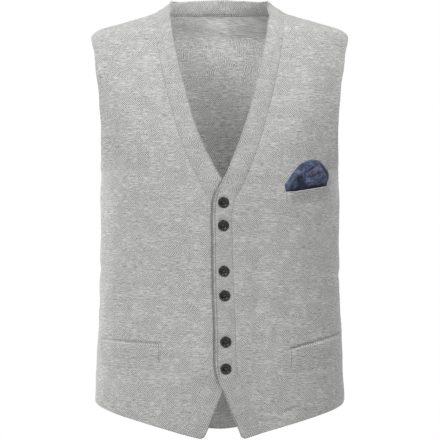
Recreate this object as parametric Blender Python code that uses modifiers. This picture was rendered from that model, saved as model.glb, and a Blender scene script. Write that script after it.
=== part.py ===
"""A knitted waistcoat in its worn shape, hollow, with a V neck, open armholes and a pointed front hem.

Metres, +Z up. The front faces -Y and the wearer's left is +X. The origin lies midway between the shoulder
seams, level with their neck ends, where the wearer's shoulders carry the garment.

The cloth follows one smooth form, a stack of level rings. A place on the form is (turn, level): turn is the
angle round the ring, 0 at the centre front, 90 degrees at the wearer's left side and 180 at the centre back,
and level is the height. Each cut piece is a patch between its four edges on the form, made into a wall.
"""

import bpy
import numpy as np
from mathutils import Vector

MM = 0.001

# Cloth, and the gaps that keep the pieces apart
PANEL_CLOTH = 2.0 * MM
BAND_CLOTH = 3.0 * MM
SEAM_GAP = 0.3 * MM
LAYER_GAP = 0.5 * MM
WELT_GAP = 0.6 * MM

# Levels of the ends of the seams and of the edges
NECK_POINT = 0.0 * MM
SHOULDER_TIP = -33.0 * MM
UNDERARM = -245.0 * MM
SIDE_HEM = -594.0 * MM
BACK_HEM = -656.0 * MM
BACK_NECK_SEAM = 4.0 * MM
BAND_TOP_AT_SIDE = 21.0 * MM
BAND_TOP_AT_BACK = 28.0 * MM
FRONT_HEM_HOLLOW = 0.28

# Mesh density: rows run up the body, columns across it
ROWS_BELOW_UNDERARM = 17
ROWS_ABOVE_UNDERARM = 12
SIDE_COLUMNS = 8
NECK_COLUMNS = 6
BAND_COLUMNS = 3
CROWDED_TO_SIDE = 1.3
PATH_SAMPLES = 160
SAMPLES_PER_ROW = 12

# Buttons
BUTTON_RADIUS = 8.3 * MM
BUTTON_THICKNESS = 3.2 * MM
BUTTON_EDGE_ROUND = 0.7 * MM
BUTTON_DISH_RADIUS = 5.4 * MM
BUTTON_DISH_DEPTH = 0.8 * MM
BUTTON_SIDES = 20
BUTTON_MERGE = 0.01 * MM

# Pocket puff, sewn into the breast welt. Its mouth is the line where it leaves the welt.
PUFF_MIDDLE_X, PUFF_MOUTH_LEVEL, PUFF_MOUTH_SLOPE = 130.0 * MM, -270.0 * MM, 0.19
PUFF_HALF_WIDTH, PUFF_WAIST, PUFF_LEAN = 31.0 * MM, 0.72, 1.5 * MM
PUFF_RISE, PUFF_ENDS_FALL, PUFF_PEAK_AT = 40.0 * MM, 0.42, 0.25
PUFF_TUCK, PUFF_ROOT_CLOTH, PUFF_FULLNESS = 8.0 * MM, 1.1 * MM, 9.0 * MM
PUFF_GAP = 0.8 * MM
PUFF_COLUMNS, PUFF_ROWS = 12, 9

COLOURS = {  # name: (linear colour, roughness)
    "cloth": ((0.42, 0.42, 0.41), 0.95),
    "cloth_band": ((0.46, 0.46, 0.45), 0.95),
    "cloth_welt": ((0.39, 0.39, 0.38), 0.95),
    "puff_cloth": ((0.06, 0.08, 0.15), 0.7),
    "button_resin": ((0.02, 0.02, 0.018), 0.35),
}

# The tables are in millimetres.

# The form, top to bottom: level of the ring, half its width, its depth in front of the side line and behind
# it, and how square it is (2 is an ellipse)
FORM_HEADS = ("level", "half_width", "front", "back", "squareness")
FORM = (
    (36, 69.0, 42.0, 60.0, 2.00),
    (19, 73.0, 44.0, 69.0, 2.00),
    (8, 83.5, 49.0, 77.0, 2.00),
    (-2, 102.0, 57.0, 86.0, 2.00),
    (-16, 148.0, 67.0, 91.0, 2.02),
    (-29, 189.0, 75.0, 96.0, 2.05),
    (-38, 198.0, 79.5, 99.0, 2.08),
    (-60, 206.2, 87.0, 104.0, 2.12),
    (-100, 214.3, 98.0, 111.0, 2.20),
    (-137, 211.2, 106.5, 115.6, 2.25),
    (-180, 201.5, 113.5, 118.7, 2.30),
    (-205, 194.5, 116.7, 119.0, 2.33),
    (-222, 189.5, 118.0, 118.5, 2.34),
    (-235, 185.0, 118.7, 117.7, 2.35),
    (-245, 181.8, 119.0, 117.0, 2.35),
    (-290, 181.4, 118.0, 112.0, 2.35),
    (-340, 181.8, 115.5, 107.0, 2.35),
    (-400, 183.1, 113.5, 104.5, 2.35),
    (-450, 184.5, 113.5, 106.5, 2.35),
    (-500, 186.2, 115.0, 111.0, 2.35),
    (-545, 188.2, 117.0, 116.0, 2.35),
    (-594, 191.2, 119.0, 119.0, 2.35),
    (-670, 194.5, 121.5, 122.5, 2.35),
)

# The two front bands, hem to neck. x runs from the centre towards the band's own side. edge is the free edge
# and seam the line where the band joins the front.
BAND_HEADS = ("edge_x", "edge_level", "seam_x", "seam_level")
LEFT_BAND = (  # on top
    (33.5, -646.0, 62.0, -637.0),
    (27.3, -630.0, 56.5, -619.0),
    (16.0, -602.0, 45.5, -591.0),
    (5.1, -574.5, 34.5, -565.0),
    (-3.5, -558.0, 27.5, -546.0),
    (-7.4, -538.0, 25.3, -531.0),
    (-8.0, -482.0, 24.0, -480.0),
    (-10.0, -430.0, 21.8, -430.0),
    (-11.0, -346.0, 19.5, -350.0),
    (-11.0, -298.0, 19.0, -311.0),
    (-8.6, -284.5, 21.8, -294.0),
    (1.9, -265.0, 30.5, -275.0),
    (12.7, -243.0, 41.0, -253.0),
    (25.1, -212.0, 53.2, -221.0),
    (37.5, -178.0, 65.5, -185.0),
    (48.1, -140.0, 76.0, -146.0),
    (57.0, -101.0, 85.0, -106.0),
    (65.0, -63.0, 92.5, -66.0),
    (71.5, -28.0, 97.0, -32.0),
    (74.5, -6.0, 99.0, -11.0),
)
RIGHT_BAND = (  # underneath
    (24.5, -646.0, 53.0, -639.5),
    (17.2, -630.0, 46.5, -621.0),
    (6.3, -602.0, 36.0, -592.0),
    (-5.1, -574.5, 24.5, -564.0),
    (-15.5, -554.0, 14.0, -545.0),
    (-22.5, -536.0, 9.5, -531.0),
    (-24.5, -482.0, 7.5, -480.0),
    (-24.0, -430.0, 8.0, -430.0),
    (-22.5, -346.0, 8.5, -350.0),
    (-22.0, -300.0, 9.0, -311.0),
    (-18.5, -284.0, 13.5, -294.0),
    (-7.5, -265.0, 23.0, -276.0),
    (5.5, -243.0, 35.0, -254.0),
    (20.5, -214.0, 49.0, -223.0),
    (34.8, -179.0, 63.0, -186.0),
    (46.4, -140.0, 74.5, -146.0),
    (55.8, -103.0, 84.5, -108.0),
    (64.6, -65.0, 92.5, -68.0),
    (71.5, -28.0, 97.0, -32.0),
    (74.5, -6.0, 99.0, -11.0),
)

# Armhole edges from the underarm to the shoulder tip: how far each lies in front of the side line, and
# behind it
ARMHOLE_HEADS = ("level", "front", "back")
ARMHOLE = (
    (-245, 0, 0),
    (-242, 21, 20),
    (-235, 35, 36),
    (-222, 47, 50),
    (-205, 54.5, 60),
    (-180, 60, 67),
    (-150, 61, 70),
    (-120, 58, 68),
    (-90, 49.5, 60.5),
    (-65, 37, 47),
    (-46, 22.5, 32),
    (-37, 10, 16.5),
    (-33, 0, 0),
)

# Where the left front and its band rise to clear the band under them, from none to full: across, down from
# the V, and up from the cutaway
RISE_ACROSS, RISE_TOP, RISE_BOTTOM = (66.0, 27.0), (-212.0, -252.0), (-630.0, -583.0)

# Pocket welts: side is 1 on the wearer's left; x and level of the mouth's two ends, the welt's height, and
# how far the middle of the mouth stands open
WELTS = (  # name, side, inner_x, inner_level, outer_x, outer_level, height, standing_open
    ("welt_lower_left", 1, 104.5, -514.0, 182.5, -494.5, 36.0, 0.0),
    ("welt_lower_right", -1, 88.5, -505.8, 182.0, -502.5, 36.0, 0.0),
    ("welt_breast", 1, 97.5, -277.2, 167.5, -263.6, 22.0, 4.6),
)
WELT_ROWS = 4
MOUTH_SHOULDER = 0.2
MOUTH_SPRING = 1.3

# Buttons on the left band, top to bottom: three pairs
BUTTONS = (  # x, level
    (5.6, -293.0),
    (5.4, -327.0),
    (6.3, -395.5),
    (7.2, -432.0),
    (8.8, -501.0),
    (9.0, -541.0),
)

SIDE, FULL_TURN = np.pi / 2, 2 * np.pi


# ---- Curves


def column(table, heads, name):
    """One named column of a table, in metres."""
    return np.array([row[heads.index(name)] for row in table], float) * MM


def between(start, end, start_slope, end_slope, share):
    """Cubic between two values with these slopes, both scaled to the step; share runs from 0 to 1."""
    s2, s3 = share**2, share**3
    return (
        (2 * s3 - 3 * s2 + 1) * start
        + (s3 - 2 * s2 + share) * start_slope
        + (3 * s2 - 2 * s3) * end
        + (s3 - s2) * end_slope
    )


def smooth_through(x, y, wanted):
    """Values at wanted of the cubic through (x, y), with x rising, that never overshoots a row.

    The slope at a row is the harmonic mean of the slopes beside it, or zero where they differ in sign.
    """
    step = np.diff(x)
    slope = np.diff(y) / step
    before, after = slope[:-1], slope[1:]
    rising_on = before * after > 0
    mean = np.where(rising_on, 2 * before * after / np.where(rising_on, before + after, 1), 0)
    slopes = np.concatenate([slope[:1], mean, slope[-1:]])
    wanted = np.clip(wanted, x[0], x[-1])
    k = np.clip(np.searchsorted(x, wanted) - 1, 0, len(x) - 2)
    share = (wanted - x[k]) / step[k]
    return between(y[k], y[k + 1], slopes[k] * step[k], slopes[k + 1] * step[k], share)


def smooth_step(value, none, full):
    """0 at none and 1 at full, level at both."""
    share = np.clip((value - none) / (full - none), 0, 1)
    return share * share * (3 - 2 * share)


def distance_along(points):
    """How far along a polyline each of its points lies."""
    return np.concatenate([[0], np.cumsum(np.linalg.norm(np.diff(points, axis=0), axis=1))])


def spline(rows):
    """A smooth curve through rows of any width, paced by the distance between them."""
    pace = distance_along(rows)
    slopes = np.gradient(rows, pace, axis=0)
    share = np.linspace(0, 1, SAMPLES_PER_ROW, endpoint=False)[:, None]
    gaps = np.diff(pace)
    spans = [
        between(rows[i], rows[i + 1], slopes[i] * gap, slopes[i + 1] * gap, share)
        for i, gap in enumerate(gaps)
    ]
    return np.vstack([*spans, rows[-1:]])


# ---- The form

RING_LEVELS = column(FORM, FORM_HEADS, "level")[::-1]
RING_SIZES = {name: column(FORM, FORM_HEADS, name)[::-1] for name in FORM_HEADS[1:]}


def ring(level):
    """Half width, front depth, back depth and squareness of the ring at each level."""
    *sizes, squareness = (smooth_through(RING_LEVELS, RING_SIZES[name], level) for name in FORM_HEADS[1:])
    return *sizes, squareness / MM


def on_form(path):
    """The points of the form at these places: each ring is a squared ellipse in polar form."""
    turn, level = path[..., 0], path[..., 1]
    half_width, front, back, squareness = ring(level)
    across, along = np.sin(turn), -np.cos(turn)
    depth = np.where(along < 0, front, back)
    squared = np.abs(across / half_width) ** squareness + np.abs(along / depth) ** squareness
    reach = squared ** (-1 / squareness)
    return np.stack([reach * across, reach * along, level], -1)


def outward(path):
    """Unit normals of the form, from small steps round it and up it."""
    round_it = on_form(path + [1e-4, 0]) - on_form(path - [1e-4, 0])
    up_it = on_form(path + [0, 2e-5]) - on_form(path - [0, 2e-5])
    normal = np.cross(round_it, up_it)
    return normal / np.linalg.norm(normal, axis=-1, keepdims=True)


def turn_at(facing, x, level):
    """The turn at which the front or the back of the ring has this x."""
    half_width, front, back, squareness = ring(level)
    depth = front if facing == "front" else back
    y = depth * np.clip(1 - np.abs(x / half_width) ** squareness, 0, None) ** (1 / squareness)
    return np.arctan2(x, y if facing == "front" else -y)


def turn_beside(facing, away, level):
    """The turn at which the ring lies this far in front of the side line, or behind it."""
    half_width, front, back, squareness = ring(level)
    depth = front if facing == "front" else back
    x = half_width * (1 - (away / depth) ** squareness) ** (1 / squareness)
    return SIDE + np.arctan2(-away if facing == "front" else away, x)


def spread(path, count, crowding=1.0):
    """count + 1 places along a path, evenly by real distance, or crowded to its end."""
    length = distance_along(on_form(path))
    wanted = (1 - np.linspace(1, 0, count + 1) ** crowding) * length[-1]
    return np.stack([np.interp(wanted, length, path[:, k]) for k in (0, 1)], -1)


def rows_along(path):
    """The rows of a piece along one of its edges: even up to the underarm's level, and even above it."""
    first = int(np.argmax(path[:, 1] > UNDERARM))
    share = (UNDERARM - path[first - 1, 1]) / (path[first, 1] - path[first - 1, 1])
    middle = path[first - 1] + share * (path[first] - path[first - 1])
    low = spread(np.vstack([path[:first], middle]), ROWS_BELOW_UNDERARM)
    high = spread(np.vstack([middle, path[first:]]), ROWS_ABOVE_UNDERARM)
    return np.vstack([low, high[1:]])


# ---- Seams and edges, as paths on the form


def smooth_path(path):
    """The smooth path through a few places on the form."""
    return spline(np.hstack([on_form(path), path]))[:, 3:]


def band_lines(table):
    """Rows of the free edge and of the seam of a front band, from the hem to the shoulder seam."""
    lines = []
    for line, top in (("edge", BAND_TOP_AT_SIDE), ("seam", NECK_POINT)):
        x = column(table, BAND_HEADS, line + "_x")
        level = column(table, BAND_HEADS, line + "_level")
        path = np.column_stack([turn_at("front", x, level), level])
        lines.append(rows_along(smooth_path(np.vstack([path, [SIDE, top]]))))
    return lines


def side_line(facing):
    """Rows of the side seam, and of the front or back edge of the armhole above it."""
    seam = np.array([(SIDE, SIDE_HEM), (SIDE, UNDERARM)])
    level = column(ARMHOLE, ARMHOLE_HEADS, "level")
    away = column(ARMHOLE, ARMHOLE_HEADS, facing)
    armhole = smooth_path(np.column_stack([turn_beside(facing, away, level), level]))
    return np.vstack([spread(seam, ROWS_BELOW_UNDERARM), spread(armhole, ROWS_ABOVE_UNDERARM)[1:]])


def shoulder_seam():
    """From the neck point out to the shoulder tip."""
    level = np.linspace(NECK_POINT, SHOULDER_TIP, PATH_SAMPLES)
    return spread(np.column_stack([np.full_like(level, SIDE), level]), SIDE_COLUMNS, CROWDED_TO_SIDE)


def front_hem(start):
    """From the band seam up to the side seam, a little hollow."""
    turn = np.linspace(start[0], SIDE, PATH_SAMPLES)
    length = distance_along(on_form(np.column_stack([turn, np.full_like(turn, start[1])])))
    share = length / length[-1]
    level = start[1] + (SIDE_HEM - start[1]) * (share + FRONT_HEM_HOLLOW * share * (1 - share))
    return spread(np.column_stack([turn, level]), SIDE_COLUMNS, CROWDED_TO_SIDE)


def back_hem_level(turn):
    """Lowest at the centre back, rising to the side seams."""
    return BACK_HEM + (SIDE_HEM - BACK_HEM) * np.sin(turn) ** 2


def back_hem(start, end, columns, crowding=1.0):
    turn = np.linspace(start, end, PATH_SAMPLES)
    return spread(np.column_stack([turn, back_hem_level(turn)]), columns, crowding)


def neck_line(side_level, back_level):
    """Round the back of the neck, from the left shoulder seam to the right one."""
    turn = np.linspace(SIDE, FULL_TURN - SIDE, PATH_SAMPLES)
    level = back_level + (side_level - back_level) * np.sin(turn) ** 2
    return spread(np.column_stack([turn, level]), NECK_COLUMNS)


def neck_point_line():
    """Rows straight up the back, from the hem to the left neck point."""
    x = ring(NECK_POINT)[0]
    hem = BACK_HEM
    for _ in range(6):  # settles where the line meets the hem
        hem = back_hem_level(turn_at("back", x, hem))
    level = NECK_POINT + (hem - NECK_POINT) * np.linspace(1, 0, PATH_SAMPLES) ** 2
    return rows_along(np.column_stack([turn_at("back", x, level), level]))


def other_side(path):
    """The same places on the other half of the body."""
    return np.stack([FULL_TURN - path[..., 0], path[..., 1]], -1)


# ---- Patches and walls


def patch(low, high, inner, outer):
    """A grid between four edges: the mean of its two rulings, less that of its corners (a Coons patch)."""
    v = np.linspace(0, 1, len(inner))[:, None, None]
    u = np.linspace(0, 1, len(low))[None, :, None]
    across = (1 - u) * inner[:, None] + u * outer[:, None]
    upward = (1 - v) * low[None] + v * high[None]
    corners = (1 - v) * ((1 - u) * low[0] + u * low[-1]) + v * ((1 - u) * high[0] + u * high[-1])
    return across + upward - corners


def strip(first, second):
    """A grid of straight rows between two lines, BAND_COLUMNS wide."""
    share = np.linspace(0, 1, BAND_COLUMNS + 1)[None, :, None]
    return (1 - share) * first[:, None] + share * second[:, None]


def drawn_in(points):
    """The grid with each edge drawn in by half the seam gap, along the lines that cross it."""
    points = points.copy()
    for grid in (points, points[::-1], points.swapaxes(0, 1), points.swapaxes(0, 1)[::-1]):
        along = np.gradient(grid[0], axis=0)
        along /= np.linalg.norm(along, axis=-1, keepdims=True)
        step = grid[1] - grid[0]
        square_on = step - np.sum(step * along, -1, keepdims=True) * along
        grid[0] += SEAM_GAP / 2 * step / np.linalg.norm(square_on, axis=-1, keepdims=True)
    return points


def wall(grid, cloth, lift=0.0):
    """Inner points, outer points and normals of a wall of cloth, lifted off the form."""
    base, normal = on_form(grid), outward(grid)
    lift = np.broadcast_to(lift, grid.shape[:-1])[..., None]
    return drawn_in(base + normal * lift), drawn_in(base + normal * (lift + cloth)), normal


def material(name):
    made = bpy.data.materials.get(name)
    if not made:
        colour, roughness = COLOURS[name]
        made = bpy.data.materials.new(name)
        made.use_nodes = True
        shader = made.node_tree.nodes["Principled BSDF"]
        shader.inputs["Base Color"].default_value = (*colour, 1)
        shader.inputs["Roughness"].default_value = roughness
        shader.inputs["Metallic"].default_value = 0
    return made


def place(name, mesh, material_name, collection):
    obj = bpy.data.objects.new(name, mesh)
    mesh.materials.append(material(material_name))
    collection.objects.link(obj)
    return obj


def loft(name, inner, outer, side, material_name, collection):
    """A closed wall between two grids of points that face each other. On side -1 it is mirrored in X."""
    rows, columns = inner.shape[:2]
    count = rows * columns
    index = np.arange(count).reshape(rows, columns)
    quads = np.stack([index[:-1, :-1], index[:-1, 1:], index[1:, 1:], index[1:, :-1]], -1).reshape(-1, 4)
    rim = np.concatenate([index[0], index[1:, -1], index[-1, -2::-1], index[-2:0:-1, 0]])
    after = np.roll(rim, -1)
    turned = [0, 3, 2, 1]
    edges = np.stack([rim, after, after + count, rim + count], -1)
    faces = np.vstack([quads[:, turned], quads + count, edges])
    if side < 0:
        faces = faces[:, turned]
    points = np.vstack([inner.reshape(-1, 3), outer.reshape(-1, 3)]) * [side, 1, 1]
    mesh = bpy.data.meshes.new(name)
    mesh.from_pydata(points.tolist(), [], faces.tolist())
    mesh.shade_smooth()
    mesh.set_sharp_from_angle(angle=np.radians(40))
    place(name, mesh, material_name, collection)


def rise_over_band(grid):
    """How far the left front and its band stand off the form, to clear the right band under them."""
    x, _, level = (on_form(grid) / MM).transpose(2, 0, 1)
    share = smooth_step(x, *RISE_ACROSS) * smooth_step(level, *RISE_TOP) * smooth_step(level, *RISE_BOTTOM)
    return share * (BAND_CLOTH + LAYER_GAP)


# ---- Finding places on a finished wall


def on_wall(face, columns, levels):
    """Points and normals on the facets of a wall's outer face, at these column numbers and levels.

    Each facet is half of one of the grid's quads, cut from its lowest inner corner to its highest outer one.
    """
    both = np.concatenate(face, -1)
    column, across = np.divmod(np.clip(columns, 0, both.shape[1] - 1.001), 1)
    found = np.empty((*np.shape(levels), 6))
    for where in np.ndindex(*np.shape(levels)):
        j, u = int(column[where]), across[where]
        line = (1 - u) * both[:, j, 2] + u * both[:, j + 1, 2]
        i, v = divmod(np.interp(levels[where], line, np.arange(len(line))), 1)
        low, high = both[int(i), j : j + 2], both[int(i) + 1, j : j + 2]
        if u > v:
            found[where] = low[0] + u * (low[1] - low[0]) + v * (high[1] - low[1])
        else:
            found[where] = low[0] + v * (high[0] - low[0]) + u * (high[1] - high[0])
    return found[..., :3], found[..., 3:]


def column_at(face, x, level):
    """The column number, with its fraction, where a wall's outer face has this x at this level."""
    points = face[0]
    across = [np.interp(level, points[:, j, 2], points[:, j, 0]) for j in range(points.shape[1])]
    return np.interp(x, across, np.arange(len(across)))


# ---- The pieces


def make_front(name, side, table, collection):
    """A front panel. Returns its outer face, on the wearer's left."""
    seam = band_lines(table)[1]
    grid = patch(front_hem(seam[0]), shoulder_seam(), seam, side_line("front"))
    inner, outer, normal = wall(grid, PANEL_CLOTH, rise_over_band(grid) if side > 0 else 0.0)
    loft(name, inner, outer, side, "cloth", collection)
    return outer, normal


def make_front_band(name, side, table, collection):
    """A doubled band up the cutaway, the front edge and the V. Returns its outer face, as make_front does."""
    grid = strip(*band_lines(table))
    inner, outer, normal = wall(grid, BAND_CLOTH, rise_over_band(grid) if side > 0 else 0.0)
    loft(name, inner, outer, side, "cloth_band", collection)
    return outer, normal


def make_back(collection):
    """One piece: a middle under the neck, and the two sides under the shoulders."""
    line = neck_point_line()
    start = line[0, 0]
    side_hem = back_hem(start, SIDE, SIDE_COLUMNS, CROWDED_TO_SIDE)
    side = patch(side_hem, shoulder_seam(), line, side_line("back"))
    neck = neck_line(NECK_POINT, BACK_NECK_SEAM)
    middle = patch(back_hem(start, FULL_TURN - start, NECK_COLUMNS), neck, line, other_side(line))
    grid = np.hstack([side[:, :0:-1], middle, other_side(side)[:, 1:]])
    inner, outer, _ = wall(grid, PANEL_CLOTH)
    loft("back", inner, outer, 1, "cloth", collection)


def make_back_band(collection):
    """Stands round the back of the neck, between the two shoulder seams."""
    seam = neck_line(NECK_POINT, BACK_NECK_SEAM)
    edge = neck_line(BAND_TOP_AT_SIDE, BAND_TOP_AT_BACK)
    inner, outer, _ = wall(strip(seam, edge).swapaxes(0, 1), BAND_CLOTH)
    loft("band_back", inner, outer, 1, "cloth_band", collection)


def make_welt(row, face, collection):
    """A pocket welt on a front, its inner end upright. It follows the front's own columns, moved out."""
    name, side, inner_x, inner_level, outer_x, outer_level, height, standing_open = row
    rise = np.linspace(0, 1, WELT_ROWS + 1)
    below = (rise - 1) * height
    start = [column_at(face, inner_x * MM, (inner_level + drop) * MM) for drop in below]
    end = column_at(face, outer_x * MM, outer_level * MM)
    whole = np.arange(np.ceil(max(start) + 0.1), end - 0.1)
    columns = np.array([[first, *whole, end] for first in start])
    columns = np.sort(np.hstack([columns, (columns[:, 1:] + columns[:, :-1]) / 2]), 1)
    share = (columns - columns[:, :1]) / (columns[:, -1:] - columns[:, :1])
    levels = (inner_level + (outer_level - inner_level) * share + below[:, None]) * MM
    points, normal = on_wall(face, columns, levels)
    open_across = smooth_step(share, 0, MOUTH_SHOULDER) * smooth_step(share, 1, 1 - MOUTH_SHOULDER)
    gape = standing_open * MM * open_across * rise[:, None] ** MOUTH_SPRING
    inner = points + normal * (WELT_GAP + gape)[..., None]
    loft(name, inner, inner + normal * PANEL_CLOTH, side, "cloth_welt", collection)


def make_puff(face, collection):
    """A puff of cloth: its root is tucked behind the breast welt, and its top swells above the mouth."""
    u = np.linspace(-1, 1, PUFF_COLUMNS + 1)[None, :]
    v = np.linspace(0, 1, PUFF_ROWS + 1)[:, None]
    top = PUFF_RISE * (1 - PUFF_ENDS_FALL * np.abs(u - PUFF_PEAK_AT) ** 2.2)
    over_mouth = v * (PUFF_TUCK + top) - PUFF_TUCK
    freed = smooth_step(over_mouth, 0, PUFF_TUCK)
    x = PUFF_MIDDLE_X + PUFF_LEAN * freed + u * PUFF_HALF_WIDTH * (PUFF_WAIST + (1 - PUFF_WAIST) * freed)
    level = PUFF_MOUTH_LEVEL + PUFF_MOUTH_SLOPE * (x - PUFF_MIDDLE_X) + over_mouth
    columns = np.vectorize(lambda a, b: column_at(face, a, b))(x, level)
    points, normal = on_wall(face, columns, level)
    swell = (1 - np.abs(u) ** 2.5) * np.sin(np.pi * v**0.8).clip(0) ** 0.6
    cloth = PUFF_ROOT_CLOTH + (PUFF_FULLNESS - PUFF_ROOT_CLOTH) * swell * freed
    inner = points + normal * PUFF_GAP
    loft("pocket_puff", inner, inner + normal * cloth[..., None], 1, "puff_cloth", collection)


def make_button(name, x, level, face, collection):
    """A dished button, its profile turned about its own axis, lying on the left band."""
    dish_level, rim = BUTTON_THICKNESS - BUTTON_DISH_DEPTH, BUTTON_RADIUS - BUTTON_EDGE_ROUND
    profile = (  # radius, height
        (0, dish_level),
        (BUTTON_DISH_RADIUS, dish_level),
        (BUTTON_DISH_RADIUS + BUTTON_DISH_DEPTH, BUTTON_THICKNESS),
        (rim, BUTTON_THICKNESS),
        (BUTTON_RADIUS, BUTTON_THICKNESS - BUTTON_EDGE_ROUND),
        (BUTTON_RADIUS, BUTTON_EDGE_ROUND),
        (rim, 0),
        (0, 0),
    )
    mesh = bpy.data.meshes.new(name)
    mesh.from_pydata([(r, 0, z) for r, z in profile], [(i, i + 1) for i in range(len(profile) - 1)], [])
    button = place(name, mesh, "button_resin", collection)
    screw = button.modifiers.new("turned", "SCREW")
    screw.axis = "Z"
    screw.steps = screw.render_steps = BUTTON_SIDES
    screw.use_merge_vertices = True
    screw.merge_threshold = BUTTON_MERGE
    points, normals = on_wall(face, np.array([column_at(face, x, level)]), np.array([level]))
    normal = Vector(normals[0]).normalized()
    button.location = Vector(points[0]) + normal * SEAM_GAP
    button.rotation_euler = normal.to_track_quat("Z", "Y").to_euler()


def main():
    for obj in list(bpy.data.objects):
        bpy.data.objects.remove(obj)
    collection = bpy.data.collections.new("waistcoat")
    bpy.context.scene.collection.children.link(collection)
    faces = {
        1: make_front("front_left", 1, LEFT_BAND, collection),
        -1: make_front("front_right", -1, RIGHT_BAND, collection),
    }
    band_face = make_front_band("band_left", 1, LEFT_BAND, collection)
    make_front_band("band_right", -1, RIGHT_BAND, collection)
    make_back(collection)
    make_back_band(collection)
    for row in WELTS:
        make_welt(row, faces[row[1]], collection)
    make_puff(faces[1], collection)
    for number, (x, level) in enumerate(BUTTONS, 1):
        make_button(f"button_{number}", x * MM, level * MM, band_face, collection)


main()
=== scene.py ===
"""Looks of a knitted waistcoat in its worn shape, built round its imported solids.

Metres, +Z up. The front faces -Y and the wearer's left is +X. Every piece of cloth is a thin shell on the
same smooth form as its solid: a stack of level rings, on which a place is (turn, level). turn is the angle
round the ring, 0 at the centre front, and level is the height. The file is laid out as an add-on and run as
a script.
"""

import bpy
import numpy as np
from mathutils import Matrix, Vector


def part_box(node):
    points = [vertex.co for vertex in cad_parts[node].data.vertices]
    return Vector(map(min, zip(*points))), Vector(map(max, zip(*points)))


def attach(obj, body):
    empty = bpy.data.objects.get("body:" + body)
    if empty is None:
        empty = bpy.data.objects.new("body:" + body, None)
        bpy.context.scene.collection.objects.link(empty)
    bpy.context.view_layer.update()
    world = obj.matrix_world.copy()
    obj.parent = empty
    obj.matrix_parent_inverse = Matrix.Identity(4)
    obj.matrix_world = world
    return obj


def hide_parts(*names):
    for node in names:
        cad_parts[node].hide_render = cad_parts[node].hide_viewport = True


bl_info = {
    "name": "Knitted Waistcoat",
    "version": (1, 0, 0),
    "blender": (4, 5, 0),
    "location": "3D View > Sidebar > Waistcoat",
    "description": "Builds the cloth, buttons and pocket puff of a knitted waistcoat",
    "category": "Add Mesh",
}

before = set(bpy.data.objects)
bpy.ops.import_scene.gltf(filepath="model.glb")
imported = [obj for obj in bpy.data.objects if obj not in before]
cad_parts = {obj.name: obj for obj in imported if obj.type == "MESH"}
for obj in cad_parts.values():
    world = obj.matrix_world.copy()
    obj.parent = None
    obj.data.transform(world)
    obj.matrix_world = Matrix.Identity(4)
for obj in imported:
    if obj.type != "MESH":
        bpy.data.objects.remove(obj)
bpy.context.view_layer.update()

MM = 0.001
PANEL_CLOTH, BAND_CLOTH = 2 * MM, 3 * MM
SIDE, FULL_TURN = np.pi / 2, 2 * np.pi

# Levels of the ends of the seams and of the edges
NECK_POINT, SHOULDER_TIP, UNDERARM = 0.0, -33.0 * MM, -245.0 * MM
SIDE_HEM, BACK_HEM, FRONT_HEM_HOLLOW = -594.0 * MM, -656.0 * MM, 0.28
BACK_NECK_SEAM, BAND_TOP_AT_SIDE, BAND_TOP_AT_BACK = 4.0 * MM, 20.5 * MM, 28.0 * MM

# Mesh density. Rows are counted below and above the underarm's level.
FRONT_ROWS, BACK_ROWS = (290, 160), (150, 92)
FRONT_COLUMNS, BACK_SIDE_COLUMNS, NECK_COLUMNS, BAND_COLUMNS = 74, 54, 52, 30
CROWDING = 0.62
NECK_BAND_ROWS, NECK_BAND_COLUMNS = 16, 130
WELT_ROWS, WELT_COLUMNS = 24, 72
PUFF_ROWS, PUFF_COLUMNS = 44, 96
BUTTON_GRID, THREAD_STEPS, FLOOR_SIDES = 56, 12, 96
RIM_ANGLES = np.radians([60, 30, 0, -30, -60])

# How finely paths, rings and the form's slopes are worked out
PATH_SAMPLES, SAMPLES_PER_ROW, ARC_SAMPLES, LEVEL_SAMPLES = 240, 24, 25, 300
TURN_STEP, LEVEL_STEP = 1e-4, 2e-5

# The tables, and the lengths beside them that don't name MM, are in millimetres.

# The form, top to bottom: level of the ring, half its width, its depth in front of the side line and
# behind it, and how square it is (2 is an ellipse)
FORM_HEADS = ("level", "half_width", "front", "back", "squareness")
FORM = (
    (36, 69.0, 42.0, 60.0, 2.00),
    (19, 73.0, 44.0, 69.0, 2.00),
    (8, 83.5, 49.0, 77.0, 2.00),
    (-2, 102.0, 57.0, 86.0, 2.00),
    (-16, 148.0, 67.0, 91.0, 2.02),
    (-29, 189.0, 75.0, 96.0, 2.05),
    (-38, 198.0, 79.5, 99.0, 2.08),
    (-60, 206.2, 87.0, 104.0, 2.12),
    (-100, 214.3, 98.0, 111.0, 2.20),
    (-137, 211.2, 106.5, 115.6, 2.25),
    (-180, 201.5, 113.5, 118.7, 2.30),
    (-205, 194.5, 116.7, 119.0, 2.33),
    (-222, 189.5, 118.0, 118.5, 2.34),
    (-235, 185.0, 118.7, 117.7, 2.35),
    (-245, 181.8, 119.0, 117.0, 2.35),
    (-290, 181.4, 118.0, 112.0, 2.35),
    (-340, 181.8, 115.5, 107.0, 2.35),
    (-400, 183.1, 113.5, 104.5, 2.35),
    (-450, 184.5, 113.5, 106.5, 2.35),
    (-500, 186.2, 115.0, 111.0, 2.35),
    (-545, 188.2, 117.0, 116.0, 2.35),
    (-594, 191.2, 119.0, 119.0, 2.35),
    (-670, 194.5, 121.5, 122.5, 2.35),
)

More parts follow.
